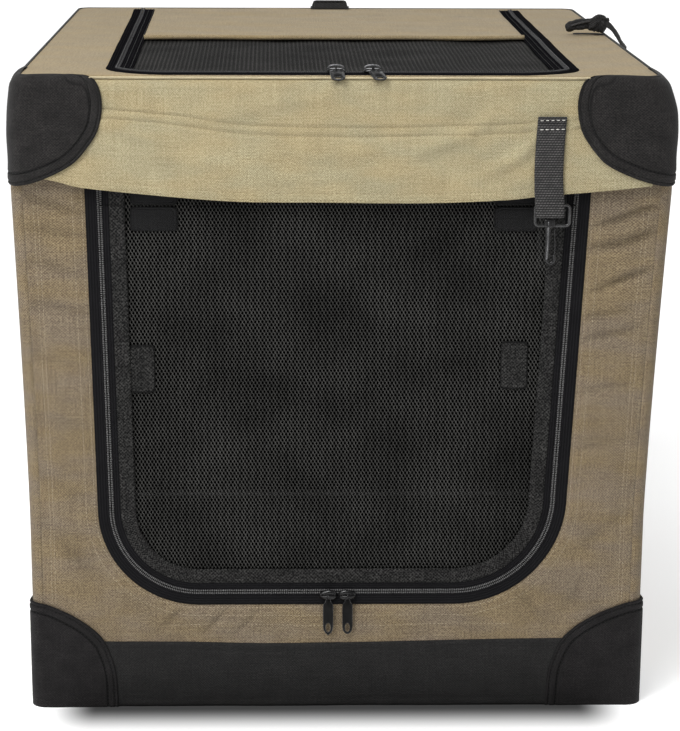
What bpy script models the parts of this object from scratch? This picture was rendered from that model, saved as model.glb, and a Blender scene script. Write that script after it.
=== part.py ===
# Soft folding dog crate: a folding tube frame inside sewn cloth walls.
# Metres, +Z up. The front faces -Y, and the origin is on the ground under the middle of the whole.
import bpy
import bmesh
from math import cos, hypot, pi, radians, sin, tau
from mathutils import Vector
from mathutils.geometry import delaunay_2d_cdt

# Overall size of the sewn cover
WIDTH = 0.610
DEPTH = 0.715
HEIGHT = 0.625

# Clearances
GAP = 0.0003
RUN = 0.0003
FACE_RUN = 0.0005
OVERRUN = 0.002

# Cloth thicknesses and the cover's corner rounding
CLOTH = 0.002
TOP_CLOTH = 0.003
FLOOR_T = 0.004
WALL_CORNER_R = 0.012
PATCH_CORNER_R = 0.016
TOP_CORNER_R = 0.018

# Frame tubes, their spigots and the corner blocks
TUBE_R = 0.006
TUBE_WALL = 0.0012
SPIGOT_LENGTH = 0.020
BLOCK_LENGTH = 0.042
BLOCK_H = 0.024
PIVOT_RISE = 0.016
POST_INSET = 0.024
BOSS_R = 0.007

# Folding posts
POST_R = 0.006
HUB_R = 0.009
HUB_HALF = 0.0065
PIN_R = 0.003
HEAD_R = 0.0055
HEAD_T = 0.0015

# Door zip: its path on the front wall
DOOR_HALF_TOP = 0.228
DOOR_HALF_LOW = 0.222
DOOR_LOW_Z = 0.120
DOOR_TOP_DROP = 0.122
DOOR_CORNER_R = 0.078

# Hatch zip: its path on the top
HATCH_SIDE_IN = 0.085
HATCH_FRONT_IN = 0.022
HATCH_REAR_IN = 0.036
HATCH_CORNER_R = 0.030
FLAP_START = 0.345
FLAP_HEM_R = 0.003

# Zip tapes and sliders
ZIP_ROOM = 0.010
SLOT_HALF = 0.0015
EDGE_HALF = 0.005
TAPE_WIDTH = 0.0125
TAPE_T = 0.001
HATCH_TAPE_WIDTH = 0.0105
SLIDER_LENGTH = 0.013
SLIDER_OUT = 0.0085
SLIDER_PLATE = 0.0016
SLIDER_BACK = 0.0012
BACK_OUT = 0.0043
BAIL_OUT = 0.0035
WEB_HALF = 0.0011
BAIL_RISE = 0.0034
BAIL_R = 0.0009
BAIL_FOOT = 0.0016
DOOR_SLIDER_SPREAD = 0.0095
HATCH_SLIDER_X = 0.013
HATCH_SLIDER_SPREAD = 0.017

# Zip pulls
PULL_WIDTH = 0.0095
PULL_T = 0.0016
DOOR_PULL_LENGTH = 0.040
HATCH_PULL_LENGTH = 0.025
PULL_TIP = 0.006
PULL_EYE_R = 0.0023
PULL_EYE_WIDTH = 0.0055
PULL_HOLE_HALF_WIDTH = 0.0026
PULL_HOLE_HALF_LENGTH = 0.0055
PULL_HOLE_RISE = 0.012

# Mesh panels: pitch and thread width of the coarse net, and the solid border round it
NET_T = 0.0012
DOOR_NET_PITCH = 0.029
HATCH_NET_PITCH = 0.040
NET_THREAD = 0.004
NET_BORDER = 0.030

# Windows of the side walls
WINDOW_LOW_Z = 0.150
WINDOW_TOP_DROP = 0.105
WINDOW_END_IN = 0.095

# Dark corner patches, the dark band and the front flap
BAND_H = 0.067
LOW_PATCH_H = 0.108
LOW_PATCH_FRONT = 0.075
LOW_PATCH_SIDE = 0.095
TOP_PATCH_H = 0.102
TOP_PATCH_FRONT = 0.082
TOP_PATCH_SIDE = 0.095
VALANCE_DROP = 0.115
VALANCE_END_DROP = 0.098
VALANCE_SIDE_IN = 0.019
VALANCE_WAVE = 0.0012
VALANCE_WAVE_HALF = 0.165
VALANCE_FOLDS = 3.5

# Strap with its ring, hook and gate
STRAP_SIDE_IN = 0.106
STRAP_WIDTH = 0.027
STRAP_T = 0.0014
STRAP_TOP_DROP = 0.035
RING_DOWN = 0.127
RING_BAR_R = 0.0018
RING_HALF = 0.018
RING_DROP = 0.0125
RING_SIDE_R = 0.0022
SWIVEL_R = 0.0036
SWIVEL_HALF = 0.0032
STEM_R = 0.0017
STEM_HEAD_R = 0.0030
STEM_HEAD_T = 0.0012
HOOK_R = 0.0019
HOOK_BEND_R = 0.0065
HOOK_SPINE = 0.024
HOOK_COLLAR_R = 0.0036
HOOK_COLLAR_T = 0.004
GATE_R = 0.0014
GATE_EYE_R = 0.0030
GATE_EYE_T = 0.0016

# Rear grip
GRIP_X = 0.004
GRIP_WIDTH = 0.046
GRIP_RISE = 0.010
GRIP_T = 0.0045
GRIP_DEPTH = 0.009
GRIP_FOOT = 0.012
GRIP_IN = 0.016

# Side strap standing on the right of the top, with its adjuster
SIDE_STRAP_H = 0.016
SIDE_STRAP_T = 0.0024
SIDE_STRAP_LIFT = 0.0022
ADJUSTER_LENGTH = 0.009
ADJUSTER_HALF = 0.0045
ADJUSTER_TOP = 0.0024
SIDE_STRAP_RUN = 0.030
SIDE_STRAP_BEND_R = 0.012
SIDE_STRAP_TAIL = 0.080
SIDE_STRAP_EDGE_IN = 0.003
SIDE_STRAP_BACK = 0.395

# Numbers of facets and steps
TUBE_SIDES = 12
PIN_SIDES = 16
SMALL_SIDES = 10
CORNER_STEPS = 8
BEND_STEPS = 4
VALANCE_COLUMNS = 28
VALANCE_ROWS = 4
PATCH_ROWS = 6
SMOOTH_ANGLE = radians(40)

# Triangulation of the whole hull of an outline, and the distance under which its points are one
WHOLE_HULL = 0
WELD = 0.0000001

# Height shares of the patches' rounded outlines against shares of their reach, chosen from the photograph
LOW_PATCH_SHARES = ((0, 1.0), (0.33, 0.94), (0.58, 0.83), (0.76, 0.70), (0.90, 0.50), (1.0, 0.12))
TOP_PATCH_SHARES = ((0, 1.0), (0.26, 0.97), (0.48, 0.89), (0.71, 0.77), (0.93, 0.55), (1.0, 0.30))

# The strap, ring and hook reach past the cover's front, so the cover stands back by half of that
GATE_REACH = HOOK_R + GAP + 2 * GATE_R
HOOK_REACH = SWIVEL_R + max(SWIVEL_R, GATE_REACH) - CLOTH
FRONT = -DEPTH / 2 + HOOK_REACH / 2
REAR = DEPTH / 2 + HOOK_REACH / 2

# Planes of the cover's layers, from the outside in
PATCH_X = WIDTH / 2
WALL_X = WIDTH / 2 - 2 * CLOTH - 2 * GAP
VALANCE_Y = FRONT + CLOTH + GAP
VALANCE_BACK = VALANCE_Y + CLOTH
WALL_Y = VALANCE_BACK + ZIP_ROOM
TUBE_OUT_X = WALL_X - CLOTH - GAP
TUBE_X = TUBE_OUT_X - TUBE_R
TUBE_FRONT_Y = WALL_Y + CLOTH + GAP + TUBE_R
TUBE_REAR_Y = REAR - CLOTH - GAP - TUBE_R
UNDER_TOP = HEIGHT - TOP_CLOTH - GAP
ON_FLOOR = FLOOR_T + GAP
BASE_TUBE_Z = ON_FLOOR + TUBE_R
TOP_TUBE_Z = UNDER_TOP - TUBE_R

# Places that go with the cover's height and width
DOOR_HIGH_Z = HEIGHT - DOOR_TOP_DROP
WINDOW_HIGH_Z = HEIGHT - WINDOW_TOP_DROP
VALANCE_MIDDLE_Z = HEIGHT - VALANCE_DROP
VALANCE_END_Z = HEIGHT - VALANCE_END_DROP
VALANCE_HALF = WIDTH / 2 - VALANCE_SIDE_IN
HATCH_HALF = WIDTH / 2 - HATCH_SIDE_IN
STRAP_X = WIDTH / 2 - STRAP_SIDE_IN
STRAP_TOP_Z = HEIGHT - STRAP_TOP_DROP
RING_Z = HEIGHT - RING_DOWN

# Pivots of the folding posts
BASE_PIVOT_Z = ON_FLOOR + PIVOT_RISE
TOP_PIVOT_Z = UNDER_TOP - PIVOT_RISE
KNEE_Z = (BASE_PIVOT_Z + TOP_PIVOT_Z) / 2
BLOCK_IN_X = TUBE_OUT_X - 2 * TUBE_R
LOWER_POST_X = BLOCK_IN_X - FACE_RUN - HUB_HALF
UPPER_POST_X = LOWER_POST_X - 2 * HUB_HALF - FACE_RUN
POST_FRONT_Y = TUBE_FRONT_Y + POST_INSET
POST_REAR_Y = TUBE_REAR_Y - POST_INSET

SIDES = {"left": -1, "right": 1}
ENDS = {"front": 1, "rear": -1}
POST_Y = {"front": POST_FRONT_Y, "rear": POST_REAR_Y}
TUBE_Y = {"front": TUBE_FRONT_Y, "rear": TUBE_REAR_Y}

# Photo colours (linear), roughness and metallic value of each kind of surface
FINISHES = {
    "tan_cloth": ((0.300, 0.235, 0.148), 0.92, 0.0),
    "khaki_cloth": ((0.480, 0.405, 0.225), 0.92, 0.0),
    "charcoal_cloth": ((0.028, 0.024, 0.022), 0.95, 0.0),
    "black_webbing": ((0.016, 0.016, 0.017), 0.85, 0.0),
    "zip_tape": ((0.009, 0.009, 0.010), 0.80, 0.0),
    "black_mesh": ((0.020, 0.020, 0.020), 0.80, 0.0),
    "black_metal": ((0.020, 0.020, 0.022), 0.35, 0.8),
    "black_plastic": ((0.012, 0.012, 0.013), 0.40, 0.0),
    "frame_steel": ((0.060, 0.060, 0.065), 0.40, 0.9),
}


def clear_scene():
    for thing in list(bpy.data.objects):
        bpy.data.objects.remove(thing, do_unlink=True)


# Shapes: each is a list of points and a list of faces that index them


def across(direction):
    """Two unit vectors square to a direction and to each other."""
    is_level = abs(direction.z) < abs(direction.x) + abs(direction.y)
    helper = Vector((0, 0, 1)) if is_level else Vector((0, 1, 0))
    first = direction.cross(helper).normalized()
    return first, direction.cross(first).normalized()


def ring(centre, first, second, radius, sides):
    steps = [tau * (i + 0.5) / sides for i in range(sides)]
    return [centre + radius * (cos(a) * first + sin(a) * second) for a in steps]


def cylinder(start, end, radius, sides=PIN_SIDES):
    start = Vector(start)
    end = Vector(end)
    first, second = across((end - start).normalized())
    points = ring(start, first, second, radius, sides) + ring(end, first, second, radius, sides)
    faces = [(i, (i + 1) % sides, sides + (i + 1) % sides, sides + i) for i in range(sides)]
    faces += [tuple(range(sides)), tuple(range(sides, 2 * sides))]
    return points, faces


def pipe(start, end, outer, inner, sides=TUBE_SIDES):
    """A tube with both ends open."""
    start = Vector(start)
    end = Vector(end)
    first, second = across((end - start).normalized())
    points = []
    for centre, radius in ((start, outer), (end, outer), (end, inner), (start, inner)):
        points += ring(centre, first, second, radius, sides)
    faces = []
    for loop in range(4):
        here = loop * sides
        after = (loop + 1) % 4 * sides
        faces += [(here + i, here + (i + 1) % sides, after + (i + 1) % sides, after + i) for i in range(sides)]
    return points, faces


def block(low, high):
    xs, ys, zs = zip(low, high)
    points = [Vector((x, y, z)) for x in xs for y in ys for z in zs]
    faces = [(0, 1, 3, 2), (4, 6, 7, 5), (0, 4, 5, 1), (2, 3, 7, 6), (0, 2, 6, 4), (1, 5, 7, 3)]
    return points, faces


def inside(point, outline):
    """Whether a point lies inside a closed outline, by counting crossings."""
    u, v = point
    found = False
    for (u1, v1), (u2, v2) in zip(outline, outline[1:] + outline[:1]):
        if (v1 > v) != (v2 > v) and u < u1 + (u2 - u1) * (v - v1) / (v2 - v1):
            found = not found
    return found


def is_solid(point, loops):
    return inside(point, loops[0]) and not any(inside(point, hole) for hole in loops[1:])


def plate(outline, holes, place, near, far):
    """A flat outline with holes, given its place and thickness by place(u, v, depth)."""
    loops = [list(outline)] + [list(hole) for hole in holes]
    flat = [Vector(point) for loop in loops for point in loop]
    edges = []
    start = 0
    for loop in loops:
        edges += [(start + i, start + (i + 1) % len(loop)) for i in range(len(loop))]
        start += len(loop)
    found = delaunay_2d_cdt(flat, edges, [], WHOLE_HULL, WELD)
    made, triangles, origins = found[0], found[2], found[3]
    index = {old: new for new, olds in enumerate(origins) for old in olds}
    triangles = [t for t in triangles if is_solid(sum((made[i] for i in t), Vector((0, 0))) / 3, loops)]
    count = len(made)
    points = [Vector(place(p.x, p.y, near)) for p in made] + [Vector(place(p.x, p.y, far)) for p in made]
    faces = [tuple(t) for t in triangles] + [tuple(count + i for i in reversed(t)) for t in triangles]
    for a, b in edges:
        faces.append((index[a], index[b], count + index[b], count + index[a]))
    return points, faces


def sheet(outer, inner, missing=()):
    """A closed solid between two grids of points of the same size, less the missing cells."""
    rows = len(outer)
    columns = len(outer[0])
    count = rows * columns
    points = [Vector(p) for row in outer for p in row] + [Vector(p) for row in inner for p in row]
    faces = []
    edges = {}
    for r in range(rows - 1):
        for c in range(columns - 1):
            if (r, c) in missing:
                continue
            corner = r * columns + c
            cell = (corner, corner + 1, corner + columns + 1, corner + columns)
            faces.append(cell)
            faces.append(tuple(count + i for i in reversed(cell)))
            for a, b in zip(cell, cell[1:] + cell[:1]):
                if (b, a) in edges:
                    del edges[(b, a)]
                else:
                    edges[(a, b)] = True
    faces += [(b, a, count + a, count + b) for a, b in edges]
    return points, faces


def swept(path, normal, radius, sides):
    """A rod that follows a path in the plane square to normal."""
    path = [Vector(p) for p in path]
    normal = Vector(normal)
    directions = [(b - a).normalized() for a, b in zip(path, path[1:])]
    points = []
    for i, centre in enumerate(path):
        before = directions[max(i - 1, 0)]
        after = directions[min(i, len(directions) - 1)]
        along = (before + after).normalized()
        side = along.cross(normal).normalized()
        widen = 1 / max(along.dot(after), 0.5)
        steps = [tau * (k + 0.5) / sides for k in range(sides)]
        points += [centre + radius * (cos(a) * widen * side + sin(a) * normal) for a in steps]
    faces = []
    for i in range(len(path) - 1):
        here = i * sides
        after = here + sides
        faces += [(here + k, here + (k + 1) % sides, after + (k + 1) % sides, after + k) for k in range(sides)]
    last = (len(path) - 1) * sides
    faces += [tuple(range(sides)), tuple(range(last, last + sides))]
    return points, faces


def arc(centre, radius, start, end, steps):
    """Points of an arc in a plane, angles in radians, both ends included."""
    angles = [start + (end - start) * i / steps for i in range(steps + 1)]
    return [(centre[0] + radius * cos(a), centre[1] + radius * sin(a)) for a in angles]


def rounded_box(low, high, radius, steps=CORNER_STEPS):
    """Outline of a rectangle with round corners, counter-clockwise."""
    corners = (
        ((high[0] - radius, low[1] + radius), -pi / 2),
        ((high[0] - radius, high[1] - radius), 0),
        ((low[0] + radius, high[1] - radius), pi / 2),
        ((low[0] + radius, low[1] + radius), pi),
    )
    return [p for centre, start in corners for p in arc(centre, radius, start, start + pi / 2, steps)]


# Objects


def mesh_of(shape):
    points, faces = shape
    mesh = bpy.data.meshes.new("shape")
    mesh.from_pydata([tuple(p) for p in points], [], faces)
    form = bmesh.new()
    form.from_mesh(mesh)
    bmesh.ops.recalc_face_normals(form, faces=form.faces)
    form.to_mesh(mesh)
    form.free()
    return mesh


def fused(shapes, cuts=()):
    """The shapes joined into one body, less the cuts."""
    whole = bpy.data.objects.new("whole", mesh_of(shapes[0]))
    bpy.context.scene.collection.objects.link(whole)
    tools = []
    for operation, group in (("UNION", shapes[1:]), ("DIFFERENCE", cuts)):
        for shape in group:
            tool = bpy.data.objects.new("tool", mesh_of(shape))
            bpy.context.scene.collection.objects.link(tool)
            modifier = whole.modifiers.new("join", "BOOLEAN")
            modifier.operation = operation
            modifier.solver = "EXACT"
            modifier.object = tool
            tools.append(tool)
    graph = bpy.context.evaluated_depsgraph_get()
    result = bpy.data.meshes.new_from_object(whole.evaluated_get(graph))
    for thing in [whole] + tools:
        bpy.data.objects.remove(thing, do_unlink=True)
    return result


def paint(name, finish):
    colour, roughness, metallic = FINISHES[finish]
    paint_made = bpy.data.materials.new(name)
    paint_made.use_nodes = True
    surface = paint_made.node_tree.nodes["Principled BSDF"]
    surface.inputs["Base Color"].default_value = (*colour, 1)
    surface.inputs["Roughness"].default_value = roughness
    surface.inputs["Metallic"].default_value = metallic
    paint_made.diffuse_color = (*colour, 1)
    return paint_made


def piece(name, mesh, finish, pivot=(0, 0, 0)):
    """One sub-part, modelled in place, with its origin moved to its pivot."""
    mesh = mesh if isinstance(mesh, bpy.types.Mesh) else mesh_of(mesh)
    pivot = Vector(pivot)
    for vertex in mesh.vertices:
        vertex.co -= pivot
    mesh.name = name
    mesh.materials.clear()
    mesh.materials.append(paint(name, finish))
    mesh.shade_smooth()
    mesh.set_sharp_from_angle(angle=SMOOTH_ANGLE)
    thing = bpy.data.objects.new(name, mesh)
    thing.location = pivot
    bpy.context.scene.collection.objects.link(thing)
    return thing


# Frame


def lying(x, y, z):
    """Place on a level plate, whose thickness runs along Z."""
    return x, y, z


def upright(x, z, y):
    """Place on an upright plate, whose thickness runs along Y."""
    return x, y, z


def block_outline(side, end):
    """Corner block seen from above, rounded to sit in the cover's corner."""
    radius = WALL_CORNER_R - CLOTH - GAP
    out_x = side * TUBE_OUT_X
    in_x = side * BLOCK_IN_X
    out_y = TUBE_Y[end] - ENDS[end] * TUBE_R
    far_y = out_y + ENDS[end] * BLOCK_LENGTH
    centre = (out_x - side * radius, out_y + ENDS[end] * radius)
    start = -pi / 2 if ENDS[end] > 0 else pi / 2
    finish = 0 if side > 0 else (-pi if ENDS[end] > 0 else pi)
    return arc(centre, radius, start, finish, BEND_STEPS) + [(out_x, far_y), (in_x, far_y), (in_x, out_y)]


def corner_block(name, side, end, low_z, tube_z, pivot_z, pin_end, boss_end):
    """Corner elbow with a spigot for each tube and the post's pivot pin."""
    way = ENDS[end]
    far_y = TUBE_Y[end] + way * (BLOCK_LENGTH - TUBE_R)
    in_x = side * BLOCK_IN_X
    post_y = POST_Y[end]
    spigot_r = TUBE_R - TUBE_WALL - RUN
    root_x = in_x + side * OVERRUN

    shapes = [
        plate(block_outline(side, end), [], lying, low_z, low_z + BLOCK_H),
        cylinder((root_x, TUBE_Y[end], tube_z), (in_x - side * SPIGOT_LENGTH, TUBE_Y[end], tube_z), spigot_r),
        cylinder(
            (side * TUBE_X, far_y - way * OVERRUN, tube_z),
            (side * TUBE_X, far_y + way * SPIGOT_LENGTH, tube_z),
            spigot_r,
        ),
        cylinder((root_x, post_y, pivot_z), (side * pin_end, post_y, pivot_z), PIN_R),
        cylinder((side * pin_end, post_y, pivot_z), (side * (pin_end - HEAD_T), post_y, pivot_z), HEAD_R),
    ]
    if boss_end < BLOCK_IN_X - FACE_RUN:
        shapes.append(cylinder((root_x, post_y, pivot_z), (side * boss_end, post_y, pivot_z), BOSS_R))
    piece(name, fused(shapes), "black_plastic")


def frame_ring(level, low_z, tube_z, pivot_z, pin_end, boss_end):
    """Four tubes and four corner blocks of the bottom or the top frame."""
    for side_name, side in SIDES.items():
        for end in ENDS:
            name = f"{level}_corner_{end}_{side_name}"
            corner_block(name, side, end, low_z, tube_z, pivot_z, pin_end, boss_end)
        reach = BLOCK_LENGTH - TUBE_R + GAP
        start = (side * TUBE_X, TUBE_FRONT_Y + reach, tube_z)
        finish = (side * TUBE_X, TUBE_REAR_Y - reach, tube_z)
        piece(f"{level}_tube_{side_name}", pipe(start, finish, TUBE_R, TUBE_R - TUBE_WALL), "frame_steel")
    for end in ENDS:
        half = BLOCK_IN_X - GAP
        start = (-half, TUBE_Y[end], tube_z)
        finish = (half, TUBE_Y[end], tube_z)
        piece(f"{level}_tube_{end}", pipe(start, finish, TUBE_R, TUBE_R - TUBE_WALL), "frame_steel")


def post_body(x, y, low_z, high_z):
    return [
        cylinder((x, y, low_z), (x, y, high_z), POST_R, TUBE_SIDES),
        cylinder((x - HUB_HALF, y, low_z), (x + HUB_HALF, y, low_z), HUB_R),
        cylinder((x - HUB_HALF, y, high_z), (x + HUB_HALF, y, high_z), HUB_R),
    ]


def bore(x, y, z):
    reach = HUB_HALF + OVERRUN
    return cylinder((x - reach, y, z), (x + reach, y, z), PIN_R + RUN)


def folding_posts():
    """Each corner's two post halves. The lower half carries the knee pin, riveted behind the upper half."""
    for side_name, side in SIDES.items():
        for end in ENDS:
            y = POST_Y[end]
            lower_x = side * LOWER_POST_X
            upper_x = side * UPPER_POST_X
            pin_end = upper_x - side * (HUB_HALF + GAP)
            knee_pin = [
                cylinder((lower_x, y, KNEE_Z), (pin_end, y, KNEE_Z), PIN_R),
                cylinder((pin_end, y, KNEE_Z), (pin_end - side * HEAD_T, y, KNEE_Z), HEAD_R),
            ]
            lower_shapes = post_body(lower_x, y, BASE_PIVOT_Z, KNEE_Z) + knee_pin
            lower = fused(lower_shapes, [bore(lower_x, y, BASE_PIVOT_Z)])
            piece(f"lower_post_{end}_{side_name}", lower, "frame_steel", (lower_x, y, BASE_PIVOT_Z))
            bores = [bore(upper_x, y, KNEE_Z), bore(upper_x, y, TOP_PIVOT_Z)]
            upper = fused(post_body(upper_x, y, KNEE_Z, TOP_PIVOT_Z), bores)
            piece(f"upper_post_{end}_{side_name}", upper, "frame_steel", (upper_x, y, KNEE_Z))


# Cloth walls


def side_section(side, x_out, y_out, corner_r, places):
    """Plan of a side cloth's outer face as (x, y, normal), from its front seam round to the given places."""
    centre = (x_out - corner_r, y_out + corner_r)
    section = []
    for i in range(BEND_STEPS + 1):
        angle = pi / 2 * i / BEND_STEPS
        nx, ny = sin(angle), -cos(angle)
        section.append((side * (centre[0] + corner_r * nx), centre[1] + corner_r * ny, side * nx, ny))
    for y in places:
        section.append((side * x_out, y, side, 0))
    return section


def inward(point, thickness):
    x, y, nx, ny = point
    return x - nx * thickness, y - ny * thickness


def side_wall(side_name, side):
    window = (WALL_Y + WINDOW_END_IN, REAR - WINDOW_END_IN)
    section = side_section(side, WALL_X, WALL_Y, WALL_CORNER_R, (*window, REAR - WALL_CORNER_R))
    for i in range(1, BEND_STEPS + 1):
        angle = pi / 2 * i / BEND_STEPS
        nx, ny = cos(angle), sin(angle)
        x = WALL_X - WALL_CORNER_R + WALL_CORNER_R * nx
        section.append((side * x, REAR - WALL_CORNER_R + WALL_CORNER_R * ny, side * nx, ny))
    heights = (0, WINDOW_LOW_Z, WINDOW_HIGH_Z, UNDER_TOP)
    outer = [[(p[0], p[1], z) for p in section] for z in heights]
    inner = [[(*inward(p, CLOTH), z) for p in section] for z in heights]
    piece(f"wall_{side_name}", sheet(outer, inner, {(1, BEND_STEPS + 1)}), "tan_cloth")
    near = side * (WALL_X - CLOTH)
    far = side * (WALL_X - CLOTH + NET_T)
    low = (min(near, far), window[0] + GAP, WINDOW_LOW_Z + GAP)
    high = (max(near, far), window[1] - GAP, WINDOW_HIGH_Z - GAP)
    piece(f"window_{side_name}", block(low, high), "black_mesh")


def rear_wall():
    half = WALL_X - WALL_CORNER_R - GAP
    outline = [(-half, 0), (half, 0), (half, UNDER_TOP), (-half, UNDER_TOP)]

    piece("wall_rear", plate(outline, [], upright, REAR - CLOTH, REAR), "tan_cloth")


def floor_panel():
    half = WALL_X - CLOTH - GAP
    low = (-half, WALL_Y + CLOTH + GAP)
    high = (half, REAR - CLOTH - GAP)

    outline = rounded_box(low, high, WALL_CORNER_R - CLOTH - GAP, BEND_STEPS)
    piece("floor_panel", plate(outline, [], lying, 0, FLOOR_T), "tan_cloth")


# Zip paths: points with the direction that leads away from the opening


def door_path(top_z=DOOR_HIGH_Z):
    """The door's zip from its left top end, round the bottom, to its right top end."""
    centre_z = DOOR_LOW_Z + DOOR_CORNER_R
    centre_x = DOOR_HALF_LOW - DOOR_CORNER_R
    path = [(-DOOR_HALF_TOP, top_z, -1, 0)]
    for i in range(CORNER_STEPS + 1):
        angle = pi + pi / 2 * i / CORNER_STEPS
        nx, nz = cos(angle), sin(angle)
        path.append((-centre_x + DOOR_CORNER_R * nx, centre_z + DOOR_CORNER_R * nz, nx, nz))
    return path + [(-x, z, -nx, nz) for x, z, nx, nz in reversed(path)]


def hatch_path():
    """The hatch's zip from its left rear end, round the front, to its right rear end."""
    front_y = FRONT + HATCH_FRONT_IN
    rear_y = REAR - HATCH_REAR_IN
    centre_x = HATCH_HALF - HATCH_CORNER_R
    path = [(-HATCH_HALF, rear_y, -1, 0)]
    for i in range(BEND_STEPS + 1):
        angle = pi + pi / 2 * i / BEND_STEPS
        nx, ny = cos(angle), sin(angle)
        path.append((-centre_x + HATCH_CORNER_R * nx, front_y + HATCH_CORNER_R + HATCH_CORNER_R * ny, nx, ny))
    return path + [(-x, y, -nx, ny) for x, y, nx, ny in reversed(path)]


def offset(path, distance):
    return [(u + nu * distance, v + nv * distance) for u, v, nu, nv in path]


def tape(path, start, end):
    """Outline of a zip tape between two distances from the coil."""
    return offset(path, start) + offset(path, end)[::-1]


def net_holes(path, border, pitch, low, high):
    """Square holes of a coarse net, kept clear of the border along the path."""
    limit = offset(path, -border)
    columns = int((high[0] - low[0]) / pitch)
    rows = int((high[1] - low[1]) / pitch)
    start_u = (low[0] + high[0] - columns * pitch) / 2
    start_v = (low[1] + high[1] - rows * pitch) / 2
    half = (pitch - NET_THREAD) / 2
    holes = []
    for row in range(rows):
        for column in range(columns):
            u = start_u + (column + 0.5) * pitch
            v = start_v + (row + 0.5) * pitch
            square = [(u - half, v - half), (u + half, v - half), (u + half, v + half), (u - half, v + half)]
            if all(inside(corner, limit) for corner in square):
                holes.append(square)
    return holes


# Front wall and door


def on_front(x, z, depth):
    """Place on the front wall: depth counts outward from the wall's outer face."""
    return x, WALL_Y - depth, z


def front_wall_and_door():
    half = WALL_X - WALL_CORNER_R - GAP
    path = door_path()
    outline = [(-half, 0), (half, 0), (half, UNDER_TOP), (-half, UNDER_TOP)]
    opening = offset(path, EDGE_HALF)
    piece("wall_front", plate(outline, [opening], on_front, -CLOTH, 0), "tan_cloth")
    outer_tape = tape(path, SLOT_HALF, SLOT_HALF + TAPE_WIDTH)
    piece("door_zip_wall_side", plate(outer_tape, [], on_front, GAP, GAP + TAPE_T), "zip_tape")

    hinge_z = DOOR_HIGH_Z - GAP
    door = door_path(hinge_z)
    hinge = (0, WALL_Y + CLOTH / 2, DOOR_HIGH_Z)
    edge = offset(door, -EDGE_HALF)
    low = (NET_BORDER - DOOR_HALF_TOP, NET_BORDER + DOOR_LOW_Z)
    high = (DOOR_HALF_TOP, DOOR_HIGH_Z)
    holes = net_holes(door, NET_BORDER, DOOR_NET_PITCH, low, high)
    holes = [hole for hole in holes if max(v for _, v in hole) < DOOR_HIGH_Z - NET_BORDER / 2]
    net_near = -(CLOTH + NET_T) / 2
    piece("door_mesh", plate(edge, holes, on_front, net_near, net_near + NET_T), "black_mesh", hinge)
    inner_tape = tape(door, -SLOT_HALF, -SLOT_HALF - TAPE_WIDTH)
    piece("door_zip_door_side", plate(inner_tape, [], on_front, GAP, GAP + TAPE_T), "zip_tape", hinge)


# Top panel and hatch


def on_top(x, y, depth):
    """Place on the top: depth counts up from the top's outer face."""
    return x, y, HEIGHT + depth


def top_and_hatch():
    path = hatch_path()
    outline = rounded_box((-PATCH_X, FRONT), (PATCH_X, REAR), TOP_CORNER_R)
    opening = offset(path, EDGE_HALF)
    piece("top_panel", plate(outline, [opening], on_top, -TOP_CLOTH, 0), "tan_cloth")
    outer_tape = tape(path, SLOT_HALF, SLOT_HALF + HATCH_TAPE_WIDTH)
    piece("hatch_zip_top_side", plate(outer_tape, [], on_top, GAP, GAP + TAPE_T), "zip_tape")

    hinge_y = REAR - HATCH_REAR_IN
    hinge = (0, hinge_y, HEIGHT + GAP + CLOTH)
    kept = [(x, min(y, hinge_y - GAP), nx, ny) for x, y, nx, ny in path]
    edge = offset(kept, -EDGE_HALF)
    low = (-HATCH_HALF + NET_BORDER, FRONT + HATCH_FRONT_IN + NET_BORDER)
    high = (HATCH_HALF - NET_BORDER, FRONT + FLAP_START)
    holes = net_holes(kept, NET_BORDER / 2, HATCH_NET_PITCH, low, high)
    piece("hatch_mesh", plate(edge, holes, on_top, -NET_T, 0), "black_mesh", hinge)
    inner_tape = tape(kept, -SLOT_HALF, -SLOT_HALF - HATCH_TAPE_WIDTH)
    piece("hatch_zip_hatch_side", plate(inner_tape, [], on_top, GAP, GAP + TAPE_T), "zip_tape", hinge)
    half = HATCH_HALF - SLOT_HALF - HATCH_TAPE_WIDTH - GAP
    hem_y = FRONT + FLAP_START
    hem_z = HEIGHT + GAP + FLAP_HEM_R
    cover = block((-half, hem_y, HEIGHT + GAP), (half, hinge_y - GAP, HEIGHT + GAP + CLOTH))
    hem = cylinder((-half + GAP, hem_y, hem_z), (half - GAP, hem_y, hem_z), FLAP_HEM_R, SMALL_SIDES)
    piece("hatch_cover_flap", fused([cover, hem]), "tan_cloth", hinge)


# Patches, band and front flap


def wrapped_patch(side, x_out, y_out, corner_r, front_reach, side_reach, shares, height, base_z, way):
    """A rounded patch round a vertical corner. Its height at each place follows the shares."""
    section = []
    flat_front = x_out - corner_r
    for i in range(PATCH_ROWS):
        share = 1 - i / PATCH_ROWS
        section.append((side * (flat_front - (front_reach - corner_r) * share), y_out, 0, -1, share))
    for i in range(BEND_STEPS + 1):
        angle = pi / 2 * i / BEND_STEPS
        nx, ny = sin(angle), -cos(angle)
        x = side * (flat_front + corner_r * nx)
        section.append((x, y_out + corner_r + corner_r * ny, side * nx, ny, 0))
    for i in range(1, PATCH_ROWS + 1):
        share = i / PATCH_ROWS
        y = y_out + corner_r + (side_reach - corner_r) * share
        section.append((side * x_out, y, side, 0, share))
    outer = []
    inner = []
    for row in range(PATCH_ROWS + 1):
        outer.append([])
        inner.append([])
        for x, y, nx, ny, share in section:
            z = base_z + way * height * height_share(shares, share) * row / PATCH_ROWS
            outer[-1].append((x, y, z))
            inner[-1].append((x - nx * CLOTH, y - ny * CLOTH, z))
    return sheet(outer, inner)


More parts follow.
